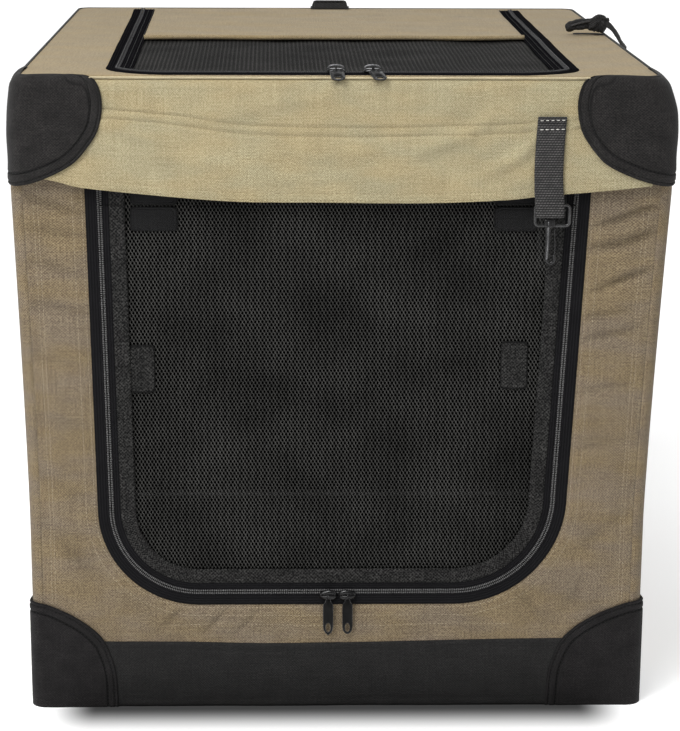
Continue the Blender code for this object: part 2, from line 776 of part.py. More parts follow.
def height_share(shares, at):
    """Height of the rounded outline, as a share, at a share of its reach from the corner."""
    for (a, ha), (b, hb) in zip(shares, shares[1:]):
        if a <= at <= b:
            return ha + (hb - ha) * (at - a) / (b - a)
    return shares[-1][1]


def patches_and_band():
    low_y = WALL_Y - GAP - CLOTH
    low_x = WALL_X + GAP + CLOTH
    low_r = WALL_CORNER_R + GAP + CLOTH
    for side_name, side in SIDES.items():
        low = wrapped_patch(
            side, low_x, low_y, low_r, LOW_PATCH_FRONT, LOW_PATCH_SIDE, LOW_PATCH_SHARES, LOW_PATCH_H, 0, 1
        )
        piece(f"bottom_patch_{side_name}", low, "charcoal_cloth")
        top = wrapped_patch(
            side, PATCH_X, FRONT, PATCH_CORNER_R, TOP_PATCH_FRONT, TOP_PATCH_SIDE,
            TOP_PATCH_SHARES, TOP_PATCH_H, UNDER_TOP, -1,
        )
        piece(f"top_patch_{side_name}", top, "charcoal_cloth")
    half = low_x - LOW_PATCH_FRONT - GAP
    band = block((-half, low_y, 0), (half, WALL_Y - GAP, BAND_H))
    piece("bottom_band", band, "charcoal_cloth")


def front_valance():
    """Flap under the top's front edge, with shallow hanging folds towards its hem."""
    outer = []
    inner = []
    for row in range(VALANCE_ROWS + 1):
        drop = row / VALANCE_ROWS
        outer.append([])
        inner.append([])
        for column in range(VALANCE_COLUMNS + 1):
            share = 2 * column / VALANCE_COLUMNS - 1
            x = VALANCE_HALF * share
            hem_z = VALANCE_MIDDLE_Z + (VALANCE_END_Z - VALANCE_MIDDLE_Z) * share ** 2
            z = UNDER_TOP + (hem_z - UNDER_TOP) * drop
            fade = max(0, 1 - (x / VALANCE_WAVE_HALF) ** 2)
            wave = VALANCE_WAVE * drop * fade * (1 + sin(VALANCE_FOLDS * tau * share)) / 2
            outer[-1].append((x, VALANCE_Y - wave, z))
            inner[-1].append((x, VALANCE_BACK - wave, z))
    piece("front_valance", sheet(outer, inner), "khaki_cloth")


# Zip sliders and pulls


def slider_and_pull(name, x, coil_v, place, pull_length):
    """A zip slider and its pull. place(u, v, depth) lays them on the cloth.

    The slider grips the fixed tape's edge and covers the slot, so that the panel can swing clear of it.
    """
    def box(u, v, depth):
        corners = [place(a, b, c) for a in u for b in v for c in depth]
        low = tuple(min(c[i] for c in corners) for i in range(3))
        high = tuple(max(c[i] for c in corners) for i in range(3))
        return block(low, high)

    def rod(u0, u1, v, depth, radius, sides):
        return cylinder(place(u0, v, depth), place(u1, v, depth), radius, sides)

    low = GAP + TAPE_T + GAP
    face = low + SLIDER_PLATE
    bar = face + BAIL_RISE
    half = SLIDER_LENGTH / 2
    foot = half - BAIL_FOOT
    lower = -GAP - SLIDER_BACK
    inner_v = coil_v + SLOT_HALF - GAP
    centre_v = coil_v - BAIL_OUT
    feet = (centre_v - BAIL_FOOT, centre_v + BAIL_FOOT)
    shapes = [
        box((x - half, x + half), (coil_v - SLIDER_OUT, inner_v), (low, face)),
        box((x - foot, x + foot), (coil_v - WEB_HALF, coil_v + WEB_HALF), (lower + GAP, face - GAP)),
        box((x - foot, x + foot), (coil_v - BACK_OUT, inner_v - GAP), (lower, -GAP)),
        box((x - half, x - foot), feet, (face - GAP, bar + BAIL_FOOT)),
        box((x + foot, x + half), feet, (face - GAP, bar + BAIL_FOOT)),
        rod(x - foot - GAP, x + foot + GAP, centre_v, bar, BAIL_R, SMALL_SIDES),
    ]
    piece(f"{name}_slider", fused(shapes), "black_metal", place(x, coil_v, 0))

    half_width = PULL_WIDTH / 2
    tip_v = coil_v - pull_length
    outline = [
        (x - half_width, centre_v), (x - half_width, tip_v + PULL_TIP), (x, tip_v),
        (x + half_width, tip_v + PULL_TIP), (x + half_width, centre_v),
    ]
    hole_v = tip_v + PULL_HOLE_RISE
    steps = [tau * i / SMALL_SIDES for i in range(SMALL_SIDES)]
    hole = [(x + PULL_HOLE_HALF_WIDTH * cos(a), hole_v + PULL_HOLE_HALF_LENGTH * sin(a)) for a in steps]
    half_eye = PULL_EYE_WIDTH / 2
    flat = plate(outline, [hole], place, bar - PULL_T / 2, bar + PULL_T / 2)
    eye = rod(x - half_eye, x + half_eye, centre_v, bar, PULL_EYE_R, TUBE_SIDES)
    reach = half_width + OVERRUN
    hole_through = rod(x - reach, x + reach, centre_v, bar, BAIL_R + RUN, SMALL_SIDES)
    piece(f"{name}_pull", fused([flat, eye], [hole_through]), "black_metal", place(x, centre_v, bar))


def zip_hardware():
    for side_name, side in SIDES.items():
        door_x = side * DOOR_SLIDER_SPREAD
        slider_and_pull(f"door_zip_{side_name}", door_x, DOOR_LOW_Z, on_front, DOOR_PULL_LENGTH)
        hatch_x = HATCH_SLIDER_X + side * HATCH_SLIDER_SPREAD
        hatch_v = FRONT + HATCH_FRONT_IN
        slider_and_pull(f"hatch_zip_{side_name}", hatch_x, hatch_v, on_top, HATCH_PULL_LENGTH)


# Strap, ring, hook and gate


def level_rod(x, half, y, z, radius, sides):
    """A rod along X with its middle at x."""
    return cylinder((x - half, y, z), (x + half, y, z), radius, sides)


def upright_rod(x, y, low_z, high_z, radius, sides):
    return cylinder((x, y, low_z), (x, y, high_z), radius, sides)


def strap_and_hook():
    face_y = VALANCE_Y - GAP
    ring_y = face_y - SWIVEL_R
    loop_r = RING_BAR_R + RUN + STRAP_T
    half = STRAP_WIDTH / 2
    band = block((STRAP_X - half, face_y - STRAP_T, RING_Z), (STRAP_X + half, face_y, STRAP_TOP_Z))
    wrap = level_rod(STRAP_X, half, ring_y, RING_Z, loop_r, PIN_SIDES)
    through = level_rod(STRAP_X, half + OVERRUN, ring_y, RING_Z, RING_BAR_R + RUN, PIN_SIDES)
    lead = block(
        (STRAP_X - half, ring_y - loop_r / 2, RING_Z + RING_BAR_R + RUN),
        (STRAP_X + half, face_y, RING_Z + loop_r + STRAP_T),
    )
    strap = fused([band, wrap, lead], [through])
    piece("hook_strap", strap, "black_webbing", (STRAP_X, face_y, STRAP_TOP_Z))

    low_z = RING_Z - RING_DROP
    sides = [
        upright_rod(STRAP_X + s * RING_HALF, ring_y, low_z, RING_Z, RING_SIDE_R, SMALL_SIDES) for s in (-1, 1)
    ]
    reach = RING_HALF + RING_SIDE_R
    top_bar = level_rod(STRAP_X, reach, ring_y, RING_Z, RING_BAR_R, TUBE_SIDES)
    low_bar = level_rod(STRAP_X, reach, ring_y, low_z, RING_BAR_R, TUBE_SIDES)
    boss_low = low_z - SWIVEL_HALF
    boss_high = low_z + SWIVEL_HALF
    boss = upright_rod(STRAP_X, ring_y, boss_low, boss_high, SWIVEL_R, PIN_SIDES)
    stem_hole = upright_rod(STRAP_X, ring_y, boss_low - OVERRUN, boss_high + OVERRUN, STEM_R + RUN, PIN_SIDES)
    ring_mesh = fused([top_bar, low_bar, *sides, boss], [stem_hole])
    piece("strap_ring", ring_mesh, "black_metal", (STRAP_X, ring_y, RING_Z))
    snap_hook(ring_y, low_z)


def snap_hook(y, ring_low_z):
    """Swivel hook: a headed stem in the ring's boss, a collar and a round bend, closed by a hinged gate."""
    head_low = ring_low_z + SWIVEL_HALF + GAP
    collar_top = ring_low_z - SWIVEL_HALF - GAP
    collar_low = collar_top - HOOK_COLLAR_T
    spine_low = collar_top - HOOK_SPINE
    spine = [(STRAP_X, y, collar_low + GAP), (STRAP_X, y, spine_low)]
    centre_x = STRAP_X - HOOK_BEND_R
    steps = 2 * CORNER_STEPS
    for i in range(1, steps + 1):
        angle = -pi * i / steps
        spine.append((centre_x + HOOK_BEND_R * cos(angle), y, spine_low + HOOK_BEND_R * sin(angle)))
    tip_x = STRAP_X - 2 * HOOK_BEND_R
    tip_z = spine_low + HOOK_BEND_R / 2
    spine.append((tip_x, y, tip_z))
    gate_z = collar_low - GATE_EYE_R
    eye_y = HOOK_R + GATE_EYE_T
    shapes = [
        cylinder((STRAP_X, y, collar_top - OVERRUN), (STRAP_X, y, head_low + STEM_HEAD_T), STEM_R),
        cylinder((STRAP_X, y, head_low), (STRAP_X, y, head_low + STEM_HEAD_T), STEM_HEAD_R),
        cylinder((STRAP_X, y, collar_low), (STRAP_X, y, collar_top), HOOK_COLLAR_R),
        swept(spine, (0, 1, 0), HOOK_R, SMALL_SIDES),
        cylinder((STRAP_X, y - eye_y, gate_z), (STRAP_X, y + eye_y, gate_z), GATE_R),
    ]
    piece("snap_hook", fused(shapes), "black_metal", (STRAP_X, y, ring_low_z))

    near = y - HOOK_R - GAP
    eye = cylinder((STRAP_X, near - GATE_EYE_T + GAP, gate_z), (STRAP_X, near, gate_z), GATE_EYE_R)
    bar_y = near - GATE_R
    reach = Vector((tip_x, bar_y, tip_z))
    bar = cylinder((STRAP_X, bar_y, gate_z), reach, GATE_R, SMALL_SIDES)
    hole_start = (STRAP_X, near - 2 * GATE_R - OVERRUN, gate_z)
    hole = cylinder(hole_start, (STRAP_X, near + OVERRUN, gate_z), GATE_R + RUN)
    piece("hook_gate", fused([eye, bar], [hole]), "black_metal", (STRAP_X, near, gate_z))


# Rear grip, side strap and its adjuster


def rear_grip():
    """Small grip behind the hatch, on two round feet."""
    y = REAR - GRIP_IN
    foot_r = GRIP_T / 2
    low_z = HEIGHT + GAP + foot_r
    half = GRIP_WIDTH / 2
    top = low_z + GRIP_RISE
    shapes = [
        block((GRIP_X - half, y - GRIP_DEPTH / 2, top - GRIP_T), (GRIP_X + half, y + GRIP_DEPTH / 2, top)),
    ]
    for s in (-1, 1):
        outer = GRIP_X + s * half
        inner = outer - s * GRIP_T
        low_x, high_x = sorted((outer, inner))
        shapes.append(block((low_x, y - foot_r, low_z), (high_x, y + foot_r, top - foot_r)))
        shapes.append(cylinder((outer, y, low_z), (outer - s * GRIP_FOOT, y, low_z), foot_r, TUBE_SIDES))
    piece("rear_grip", fused(shapes), "black_webbing", (GRIP_X, y, low_z))


def side_strap_line():
    """Plan of the side strap: out to the right edge, then round and forward as its free tail."""
    edge_x = PATCH_X - SIDE_STRAP_EDGE_IN
    y = FRONT + SIDE_STRAP_BACK
    bend_x = edge_x - SIDE_STRAP_BEND_R
    line = [(bend_x - SIDE_STRAP_RUN, y)]
    for i in range(BEND_STEPS + 1):
        angle = pi / 2 - pi / 2 * i / BEND_STEPS
        centre_y = y - SIDE_STRAP_BEND_R
        line.append((bend_x + SIDE_STRAP_BEND_R * cos(angle), centre_y + SIDE_STRAP_BEND_R * sin(angle)))
    line.append((edge_x, y - SIDE_STRAP_BEND_R - SIDE_STRAP_TAIL))
    return line


def side_strap_and_adjuster():
    line = side_strap_line()
    low_z = HEIGHT + SIDE_STRAP_LIFT
    high_z = low_z + SIDE_STRAP_H
    left = []
    right = []
    for i, (x, y) in enumerate(line):
        before = line[max(i - 1, 0)]
        after = line[min(i + 1, len(line) - 1)]
        dx, dy = after[0] - before[0], after[1] - before[1]
        length = hypot(dx, dy)
        nx, ny = -dy / length * SIDE_STRAP_T / 2, dx / length * SIDE_STRAP_T / 2
        left.append((x + nx, y + ny))
        right.append((x - nx, y - ny))
    outer = [[(x, y, z) for x, y in left] for z in (low_z, high_z)]
    inner = [[(x, y, z) for x, y in right] for z in (low_z, high_z)]
    piece("side_strap", sheet(outer, inner), "black_webbing")

    end_x = line[1][0] - SIDE_STRAP_T
    y = line[0][1]
    start_x = end_x - ADJUSTER_LENGTH
    body_low = (start_x, y - ADJUSTER_HALF, HEIGHT + GAP)
    body = block(body_low, (end_x, y + ADJUSTER_HALF, high_z + ADJUSTER_TOP))
    slot_half = SIDE_STRAP_T / 2 + RUN
    slot = block(
        (start_x - OVERRUN, y - slot_half, low_z - RUN), (end_x + OVERRUN, y + slot_half, high_z + RUN)
    )
    piece("strap_adjuster", fused([body], [slot]), "black_plastic")


def build():
    clear_scene()
    floor_panel()
    pin_base = UPPER_POST_X + HUB_HALF + FACE_RUN - GAP
    frame_ring("base", ON_FLOOR, BASE_TUBE_Z, BASE_PIVOT_Z, pin_base, BLOCK_IN_X)
    pin_top = UPPER_POST_X - HUB_HALF - GAP
    boss_top = UPPER_POST_X + HUB_HALF + GAP
    frame_ring("top", UNDER_TOP - BLOCK_H, TOP_TUBE_Z, TOP_PIVOT_Z, pin_top, boss_top)
    folding_posts()
    for side_name, side in SIDES.items():
        side_wall(side_name, side)
    rear_wall()
    front_wall_and_door()
    patches_and_band()
    top_and_hatch()
    front_valance()
    zip_hardware()
    strap_and_hook()
    rear_grip()
    side_strap_and_adjuster()


build()
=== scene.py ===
# %% [markdown]
# # Dressing a soft folding dog crate
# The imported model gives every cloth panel, tube, zip and hook as a plain solid in its true place.
# This lesson keeps the steel frame, and puts real looking cloth, mesh, zips and webbing over the rest.
# Each new piece is a surface worked out with numpy: a formula gives a whole grid of points at once,
# and the grid becomes a mesh. Each piece then rides on the body that carries it, so that it folds, swings or slides.

# %% Load the frame
from functools import partial
from math import cos, pi, radians, sin, tau

import bmesh
import bpy
import numpy as np
from mathutils import Matrix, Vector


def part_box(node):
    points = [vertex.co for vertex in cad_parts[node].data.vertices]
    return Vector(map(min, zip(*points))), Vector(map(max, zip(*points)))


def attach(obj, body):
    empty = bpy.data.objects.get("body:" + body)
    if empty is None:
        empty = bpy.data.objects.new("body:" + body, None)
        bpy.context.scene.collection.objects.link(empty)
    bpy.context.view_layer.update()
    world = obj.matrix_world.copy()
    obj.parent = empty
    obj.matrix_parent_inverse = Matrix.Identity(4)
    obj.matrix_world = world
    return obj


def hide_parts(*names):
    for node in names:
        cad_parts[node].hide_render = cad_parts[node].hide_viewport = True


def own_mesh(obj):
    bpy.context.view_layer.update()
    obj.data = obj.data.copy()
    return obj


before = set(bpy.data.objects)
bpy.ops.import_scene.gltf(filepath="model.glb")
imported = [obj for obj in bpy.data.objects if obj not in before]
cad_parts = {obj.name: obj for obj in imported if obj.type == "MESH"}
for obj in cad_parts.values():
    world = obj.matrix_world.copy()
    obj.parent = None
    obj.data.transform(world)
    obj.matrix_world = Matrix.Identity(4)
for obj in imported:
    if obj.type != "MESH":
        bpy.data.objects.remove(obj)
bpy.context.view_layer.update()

# %% [markdown]
# ## The camera
# A photograph's angle is found by matching corners of the crate with their places in the picture.
# A long lens stands about two metres in front, a little above the roof, and looks down by 15 degrees.
# The roof then shows as a narrow strip, and the sides hide behind the front.

# %% Camera
CAMERA_AT = (-0.055, -2.524, 0.878)
TURN, DOWN, TILT = radians(-1.45), radians(15.09), radians(0.28)
LENS_MM, SENSOR_MM, SHIFT_UP, SHIFT_RIGHT = 115.6, 36, 0.0813, 0.0016


def linked(name, data):
    """A new object in the scene."""
    thing = bpy.data.objects.new(name, data)
    bpy.context.scene.collection.objects.link(thing)
    return thing


def turned_to(right, up, back, at):
    """The matrix of three directions and a place."""
    return Matrix(np.vstack([np.column_stack([right, up, back, at]), [0, 0, 0, 1]]).tolist())


level = np.array([cos(TURN), sin(TURN), 0])
ahead = np.array([-sin(TURN), cos(TURN), 0])
up_now = sin(DOWN) * ahead + cos(DOWN) * np.array([0, 0, 1])
forward = cos(DOWN) * ahead - sin(DOWN) * np.array([0, 0, 1])
right = cos(TILT) * level + sin(TILT) * up_now
up = -sin(TILT) * level + cos(TILT) * up_now
lens = bpy.data.cameras.new("camera")
lens.lens, lens.sensor_width, lens.shift_y, lens.shift_x = LENS_MM, SENSOR_MM, SHIFT_UP, SHIFT_RIGHT
camera = linked("camera", lens)
camera.matrix_world = turned_to(right, up, -forward, CAMERA_AT)
bpy.context.scene.camera = camera
print("camera looks along", np.round(forward, 3))

# %% [markdown]
# ## A short way to write materials
# A material is a graph of nodes. One small class keeps the graph, and each of its methods adds one kind of node
# and gives back that node's output, so that a finish reads like a formula.

# %% Material helper
class Look:
    """A Principled material under a name, with methods that add nodes and give back their outputs."""

    def __init__(self, name, roughness, sheen=0.0, metallic=0.0, specular=0.5):
        self.made = bpy.data.materials.new(name)
        self.made.use_nodes = True
        self.tree = self.made.node_tree
        self.surface = self.tree.nodes["Principled BSDF"].inputs
        self.feed(self.surface, {"Roughness": roughness, "Metallic": metallic, "Specular IOR Level": specular})
        if sheen:
            self.feed(self.surface, {"Sheen Weight": sheen, "Sheen Roughness": 0.5})

    def feed(self, ports, values):
        """Give each port a number, a colour or another node's output."""
        for port, value in values.items():
            if hasattr(value, "node"):
                self.tree.links.new(value, ports[port])
            else:
                ports[port].default_value = value

    def node(self, kind, inputs=(), **settings):
        """One node with its inputs and settings."""
        node = self.tree.nodes.new("ShaderNode" + kind)
        for key, value in settings.items():
            setattr(node, key, value)
        self.feed(node.inputs, dict(inputs))
        return node.outputs

    def uv(self):
        """The cloth's own flat measures."""
        return self.node("UVMap", uv_map="UVMap")[0]

    def split(self, vector):
        """The parts of a vector."""
        return self.node("SeparateXYZ", {0: vector})

    def maths(self, operation, *values, clamp=False):
        """One sum of numbers."""
        return self.node("Math", enumerate(values), operation=operation, use_clamp=clamp)[0]

    def vectors(self, operation, values):
        """One sum of vectors or colours."""
        return self.node("VectorMath", values, operation=operation)[0]

    def noise(self, place, scale, detail, **more):
        """Soft noise with so many bumps to the metre."""
        return self.node("TexNoise", {"Vector": place, "Scale": scale, "Detail": detail, **more})[0]

    def stretched(self, place, scales):
        """Noise that is finer along one direction than along the other."""
        moved = self.node("Mapping", {"Vector": place, "Scale": scales})[0]
        return self.noise(moved, 1.0, 2.0)

    def ranged(self, value, *ends, **settings):
        """A value mapped from one range to another: from low, from high, to low, to high."""
        return self.node("MapRange", enumerate((value, *ends)), **settings)[0]

    def yarns(self, coordinate, pitch, phase=0.0):
        """The sine of one cloth coordinate whose wavelength is twice the yarn pitch."""
        return self.maths("SINE", self.maths("MULTIPLY_ADD", coordinate, pi / pitch, phase))

    def mix(self, share, first, second):
        """A mix of two colours; each may be a constant or an output."""
        colours = [c if hasattr(c, "node") else (*c, 1) for c in (first, second)]
        return self.node("Mix", {0: share, 6: colours[0], 7: colours[1]}, data_type="RGBA")[2]

    def finish(self, colour, height=None, distance=0.0, strength=0.0, rough=None):
        """Join colour, bump and roughness to the surface, and give back the material."""
        self.feed(self.surface, {"Base Color": colour})
        if rough:
            self.feed(self.surface, {"Roughness": rough})
        if height:
            bump = self.node("Bump", {"Strength": strength, "Distance": distance, "Height": height})[0]
            self.feed(self.surface, {"Normal": bump})
        return self.made


# %% [markdown]
# ## Floor and light
# A studio shot like this one has a white sweep under and behind the object, and large soft lamps.
# A big lamp above and in front gives the cloth its even tone, two at the sides keep the edges readable,
# and the pale world fills the shadows. The plain colour transform keeps the cloth's colours as they are set.
# A contact shadow is painted into the floor in front of the crate's foot, as in the photograph; it pales over 60 to 80
# mm.

# %% Stage and lamps
def lamp(name, at, aim, size, watts):
    """A square area lamp at a place, turned to face another."""
    data = bpy.data.lights.new(name, "AREA")
    data.size, data.energy = size, watts
    thing = linked(name, data)
    away = np.array(at, float) - np.array(aim, float)
    away /= np.linalg.norm(away)
    side = np.cross([0, 0, 1.0], away)
    side /= np.linalg.norm(side)
    thing.visible_camera = False
    thing.matrix_world = turned_to(side, np.cross(away, side), away, at)
    return thing


FLOOR_HALF, FLOOR_WHITE, FLOOR_GLOW = 14.0, 0.8, 0.5
# Half width and half depth of the darkest part, each with the distance where the shade ends.
FOOT_SHADE, SHADE_DEPTH = ((0.238, 0.297), (0.346, 0.425)), 0.97
floor_mesh = bpy.data.meshes.new("floor")
floor_corners = [(a * FLOOR_HALF, b * FLOOR_HALF, 0) for a, b in ((-1, -1), (1, -1), (1, 1), (-1, 1))]
floor_mesh.from_pydata(floor_corners, [], [(0, 1, 2, 3)])
floor = linked("floor", floor_mesh)
look = Look("floor_white_painted_shadow", 0.95)
floor_place = look.split(look.node("TexCoord")["Object"])
# Painted contact shadow: the floor's colour and glow fall off near the crate's foot.
shade = SHADE_DEPTH
for k, (dark_to, light_from) in enumerate(FOOT_SHADE):
    away = look.maths("ABSOLUTE", floor_place[k])
    falling = look.ranged(away, dark_to, light_from, 1.0, 0.0, interpolation_type="SMOOTHSTEP")
    shade = look.maths("MULTIPLY", falling, shade)
shade = look.maths("SUBTRACT", 1.0, shade)
grey = look.node("CombineColor", {k: look.maths("MULTIPLY", shade, FLOOR_WHITE) for k in range(3)})[0]
look.feed(look.surface, {"Emission Color": (1, 1, 1, 1),
                         "Emission Strength": look.maths("MULTIPLY", shade, FLOOR_GLOW)})
floor_mesh.materials.append(look.finish(grey))
lamp("key", (-1.5, -2.2, 2.3), (0, 0, 0.3), 1.3, 50)
lamp("fill_left", (-2.6, -1.2, 1.0), (0, 0, 0.3), 1.2, 6)
lamp("fill_right", (2.6, -1.2, 1.5), (0, 0, 0.3), 1.6, 8)
lamp("high", (-0.5, -1.3, 2.9), (0, -0.3, 0.3), 1.0, 42)
lamp("top", (0, 0.6, 3.0), (0, 0.1, 0.5), 2.4, 6)
lamp("back", (0.6, 3.0, 2.0), (0, 0, 0.4), 2.0, 14)
lamp("sweep", (0, 8.5, 4.5), (0, 8.8, 0), 9.0, 270)
world = bpy.data.worlds.new("studio")
bpy.context.scene.world = world
world.use_nodes = True
backdrop = world.node_tree.nodes["Background"].inputs
backdrop["Color"].default_value, backdrop["Strength"].default_value = (1, 1, 1, 1), 0.24
bpy.context.scene.view_settings.view_transform = "Standard"

# %% [markdown]
# ## From a grid of numbers to a mesh
# A cloth panel is a function of two parameters. Its rows and columns of points are one array of shape
# rows x columns x 3, and the faces are index arithmetic, so no loop runs over vertices.
# The UV map holds the cloth's own flat measures in metres. A weave drawn on it follows every bend at true scale.

# %% Mesh helpers
def mesh_object(name, points, faces, uv=None):
    """One object from an (n, 3) array of points and an (m, 3 or 4) array of corners; uv is per point."""
    points = np.asarray(points, np.float32).reshape(-1, 3)
    faces = np.asarray(faces, np.int32)
    mesh = bpy.data.meshes.new(name)
    mesh.vertices.add(len(points))
    mesh.vertices.foreach_set("co", points.ravel())
    mesh.loops.add(faces.size)
    mesh.loops.foreach_set("vertex_index", faces.ravel())
    mesh.polygons.add(len(faces))
    mesh.polygons.foreach_set("loop_start", np.arange(0, faces.size, faces.shape[1], dtype=np.int32))
    if uv is not None:
        layer = mesh.uv_layers.new(name="UVMap")
        layer.data.foreach_set("uv", np.asarray(uv, np.float32).reshape(-1, 2)[faces.ravel()].ravel())
    mesh.update(calc_edges=True)
    mesh.validate()
    smooth(mesh)
    return linked(name, mesh)


def smooth(mesh):
    """Shade a mesh's faces as one soft surface."""
    mesh.polygons.foreach_set("use_smooth", np.full(len(mesh.polygons), True))


def repair(thing, weld=0.0, outwards=True):
    """Weld points that are closer than a distance, and point a closed mesh's faces outwards."""
    form = bmesh.new()
    form.from_mesh(thing.data)
    if weld:
        bmesh.ops.remove_doubles(form, verts=form.verts, dist=weld)
    if outwards:
        bmesh.ops.recalc_face_normals(form, faces=form.faces)
    form.to_mesh(thing.data)
    form.free()
    if weld:
        smooth(thing.data)
    return thing


def unit(vectors):
    """The vectors of an array, each with the length 1."""
    return vectors / np.linalg.norm(vectors, axis=-1)[..., None]


def paired(*parts):
    """Numbers or arrays, stretched to one shape and stacked as the coordinates of points."""
    return np.stack(np.broadcast_arrays(*(np.asarray(p, float) for p in parts)), -1)


def once_round(count):
    """Angles of a full turn at equal steps."""
    return np.linspace(0, tau, count, endpoint=False)


def box_of(node):
    """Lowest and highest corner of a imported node, as arrays."""
    return [np.array(corner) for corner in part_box(node)]


def middle_of(node):
    """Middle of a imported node's box."""
    return sum(box_of(node)) / 2


def grid_faces(rows, columns, around=False, along=False):
    """Corners of each cell of a grid; around joins the last column to the first, along the last row to the first."""
    r = np.arange(rows if along else rows - 1)[:, None]
    c = np.arange(columns if around else columns - 1)[None, :]
    r2, c2 = (r + 1) % rows, (c + 1) % columns
    cells = np.stack([r * columns + c, r * columns + c2, r2 * columns + c2, r2 * columns + c], -1)
    return cells.reshape(-1, 4)


def grid_object(name, points, uv=None, around=False, along=False, turn=False):
    """A grid of points as one surface; turn flips the faces."""
    faces = grid_faces(*points.shape[:2], around, along)
    return mesh_object(name, points, faces[:, ::-1] if turn else faces, uv)


# Thickness of the cover's cloth, of tapes and of thin cloth, and how close points are when they are welded.
CLOTH, TAPE_CLOTH, THIN_CLOTH, WELD, FINE_WELD = 0.0012, 0.0009, 0.0008, 0.00001, 0.000005
SIDES = (("left", -1), ("right", 1))


def finish_piece(thing, material, body, replaced=(), thickness=0.0, shaded_lining=None):
    """Material, wall thickness inwards from the outer face, the body that it rides on and the nodes it stands for."""
    thing.data.materials.append(material)
    if thickness:
        wall = thing.modifiers.new("thickness", "SOLIDIFY")
        wall.thickness, wall.offset = thickness, -1
        if shaded_lining is not None:
            thing.data.materials.append(shaded_lining)
            wall.material_offset = 1
    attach(thing, body)
    if replaced:
        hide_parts(*replaced)
    return thing


def paint_shade(thing, values):
    """Write the share of painted shade at every point, which the woven cloths read."""
    layer = thing.data.attributes.new("painted_shade", "FLOAT", "POINT")
    layer.data.foreach_set("value", np.clip(values, 0, 0.9).astype(np.float32).ravel())


def smooth_curve(knots, count):
    """Points evenly spaced along a Catmull-Rom spline: each stretch is the cubic whose slope at a knot is half the
    step between that knot's neighbours."""
    knots = np.asarray(knots, float)
    padded = np.vstack([2 * knots[0] - knots[1], knots, 2 * knots[-1] - knots[-2]])
    t = np.linspace(0, len(knots) - 1, 40 * len(knots))
    i = np.minimum(t.astype(int), len(knots) - 2)
    f = (t - i)[:, None]
    a, b, c, d = (padded[i + k] for k in range(4))
    line = 0.5 * (2 * b + (c - a) * f + (2 * a - 5 * b + 4 * c - d) * f ** 2 + (3 * b - a - 3 * c + d) * f ** 3)
    return resample(line, count)


def lengths(line):
    """Arc length at each point of a line."""
    return np.concatenate([[0], np.cumsum(np.linalg.norm(np.diff(line, axis=0), axis=1))])


def along_line(values, distances, at):
    """The values of a line's points, read off at other distances along it."""
    return np.stack([np.interp(at, distances, column) for column in values.T], -1)


def resample(line, count):
    """The line as count points at equal steps of its arc length."""
    line = np.asarray(line, float)
    at = lengths(line)
    return along_line(line, at, np.linspace(0, at[-1], count))


def step(low, high, value):
    """0 below low, 1 above high, and the smooth cubic 3t^2 - 2t^3 between them."""
    t = np.clip((value - low) / (high - low), 0, 1)
    return t * t * (3 - 2 * t)


def waves(u, v, seed, scale, turns=6):
    """Soft pseudo noise: the mean of sines with seeded directions, wavelengths about scale and phases."""
    draw = np.random.default_rng(seed)
    total = 0
    for _ in range(turns):
        angle, phase, stretch = draw.uniform(0, tau), draw.uniform(0, tau), draw.uniform(0.6, 1.7)
        total = total + np.sin((u * cos(angle) + v * sin(angle)) * tau / (scale * stretch) + phase)
    return total / turns


print("mesh helpers ready")

# %% [markdown]
# ## Woven cloth as a material
# The cover is polyester in a plain weave: a warp yarn passes over one weft yarn and under the next.
# The product of two sines, one along each cloth direction, has just that chequer of high and low yarns.
# The yarns are two toned, which gives the grey brown shimmer, and soft noise adds slubs and fading.

# %% The weave
def woven(name, light, dark, pitch, relief=0.00022, patchy=0.1, roughness=0.88, sheen=0.12, blotch=30.0, grain=0.3,
          hues=None, specular=0.2):
    """Plain weave in the UV map's metres: yarn height = sin(u) sin(v), two yarn tones, grain, slubs and soft fading.

    hues are two tints that take turns in soft bands, as in shot cloth. A point attribute paints shade into folds and
    seams.
    """
    look = Look(name, roughness, sheen, specular=specular)
    place = look.uv()
    bend = look.node("TexNoise", {"Vector": place, "Scale": 55.0, "Detail": 1.0})["Color"]
    shift = look.vectors("SUBTRACT", {0: bend, 1: (0.5, 0.5, 0.5)})
    parts = look.split(look.vectors("MULTIPLY_ADD", {0: shift, 1: (0.0011,) * 3, 2: place}))
    product = look.maths("MULTIPLY", look.yarns(parts[0], pitch), look.yarns(parts[1], pitch))
    height = look.ranged(product, -1.0, 1.0)
    slubs, rises = (look.stretched(place, scales) for scales in ((22.0, 640.0, 1.0), (640.0, 22.0, 1.0)))
    soft = look.noise(place, blotch, 3.0, Roughness=0.55)
    tone = look.ranged(look.maths("ADD", slubs, rises), 0.75, 1.25, -0.11, 0.11)
    speck = look.ranged(look.noise(place, 0.75 / pitch, 1.0), 0.3, 0.7, -grain, grain)
    share = look.maths("MULTIPLY_ADD", height, 0.62, look.maths("ADD", tone, speck), clamp=True)
    fade = look.ranged(soft, 0.3, 0.7, 1 - patchy, 1 + patchy)
    shown = look.vectors("SCALE", {0: look.mix(share, dark, light), 3: fade})
    if hues:
        turn = look.ranged(look.stretched(place, (14.0, 34.0, 1.0)), 0.38, 0.62)
        shown = look.vectors("MULTIPLY", {0: shown, 1: look.mix(turn, *hues)})
    # Painted shade in creases, seam grooves and edges, read from the point attribute.
    folds = look.node("Attribute", attribute_name="painted_shade")["Fac"]
    shown = look.vectors("SCALE", {0: shown, 3: look.maths("SUBTRACT", 1.0, folds)})
    return look.finish(shown, look.maths("MULTIPLY_ADD", tone, 0.5, height), relief, 0.8)


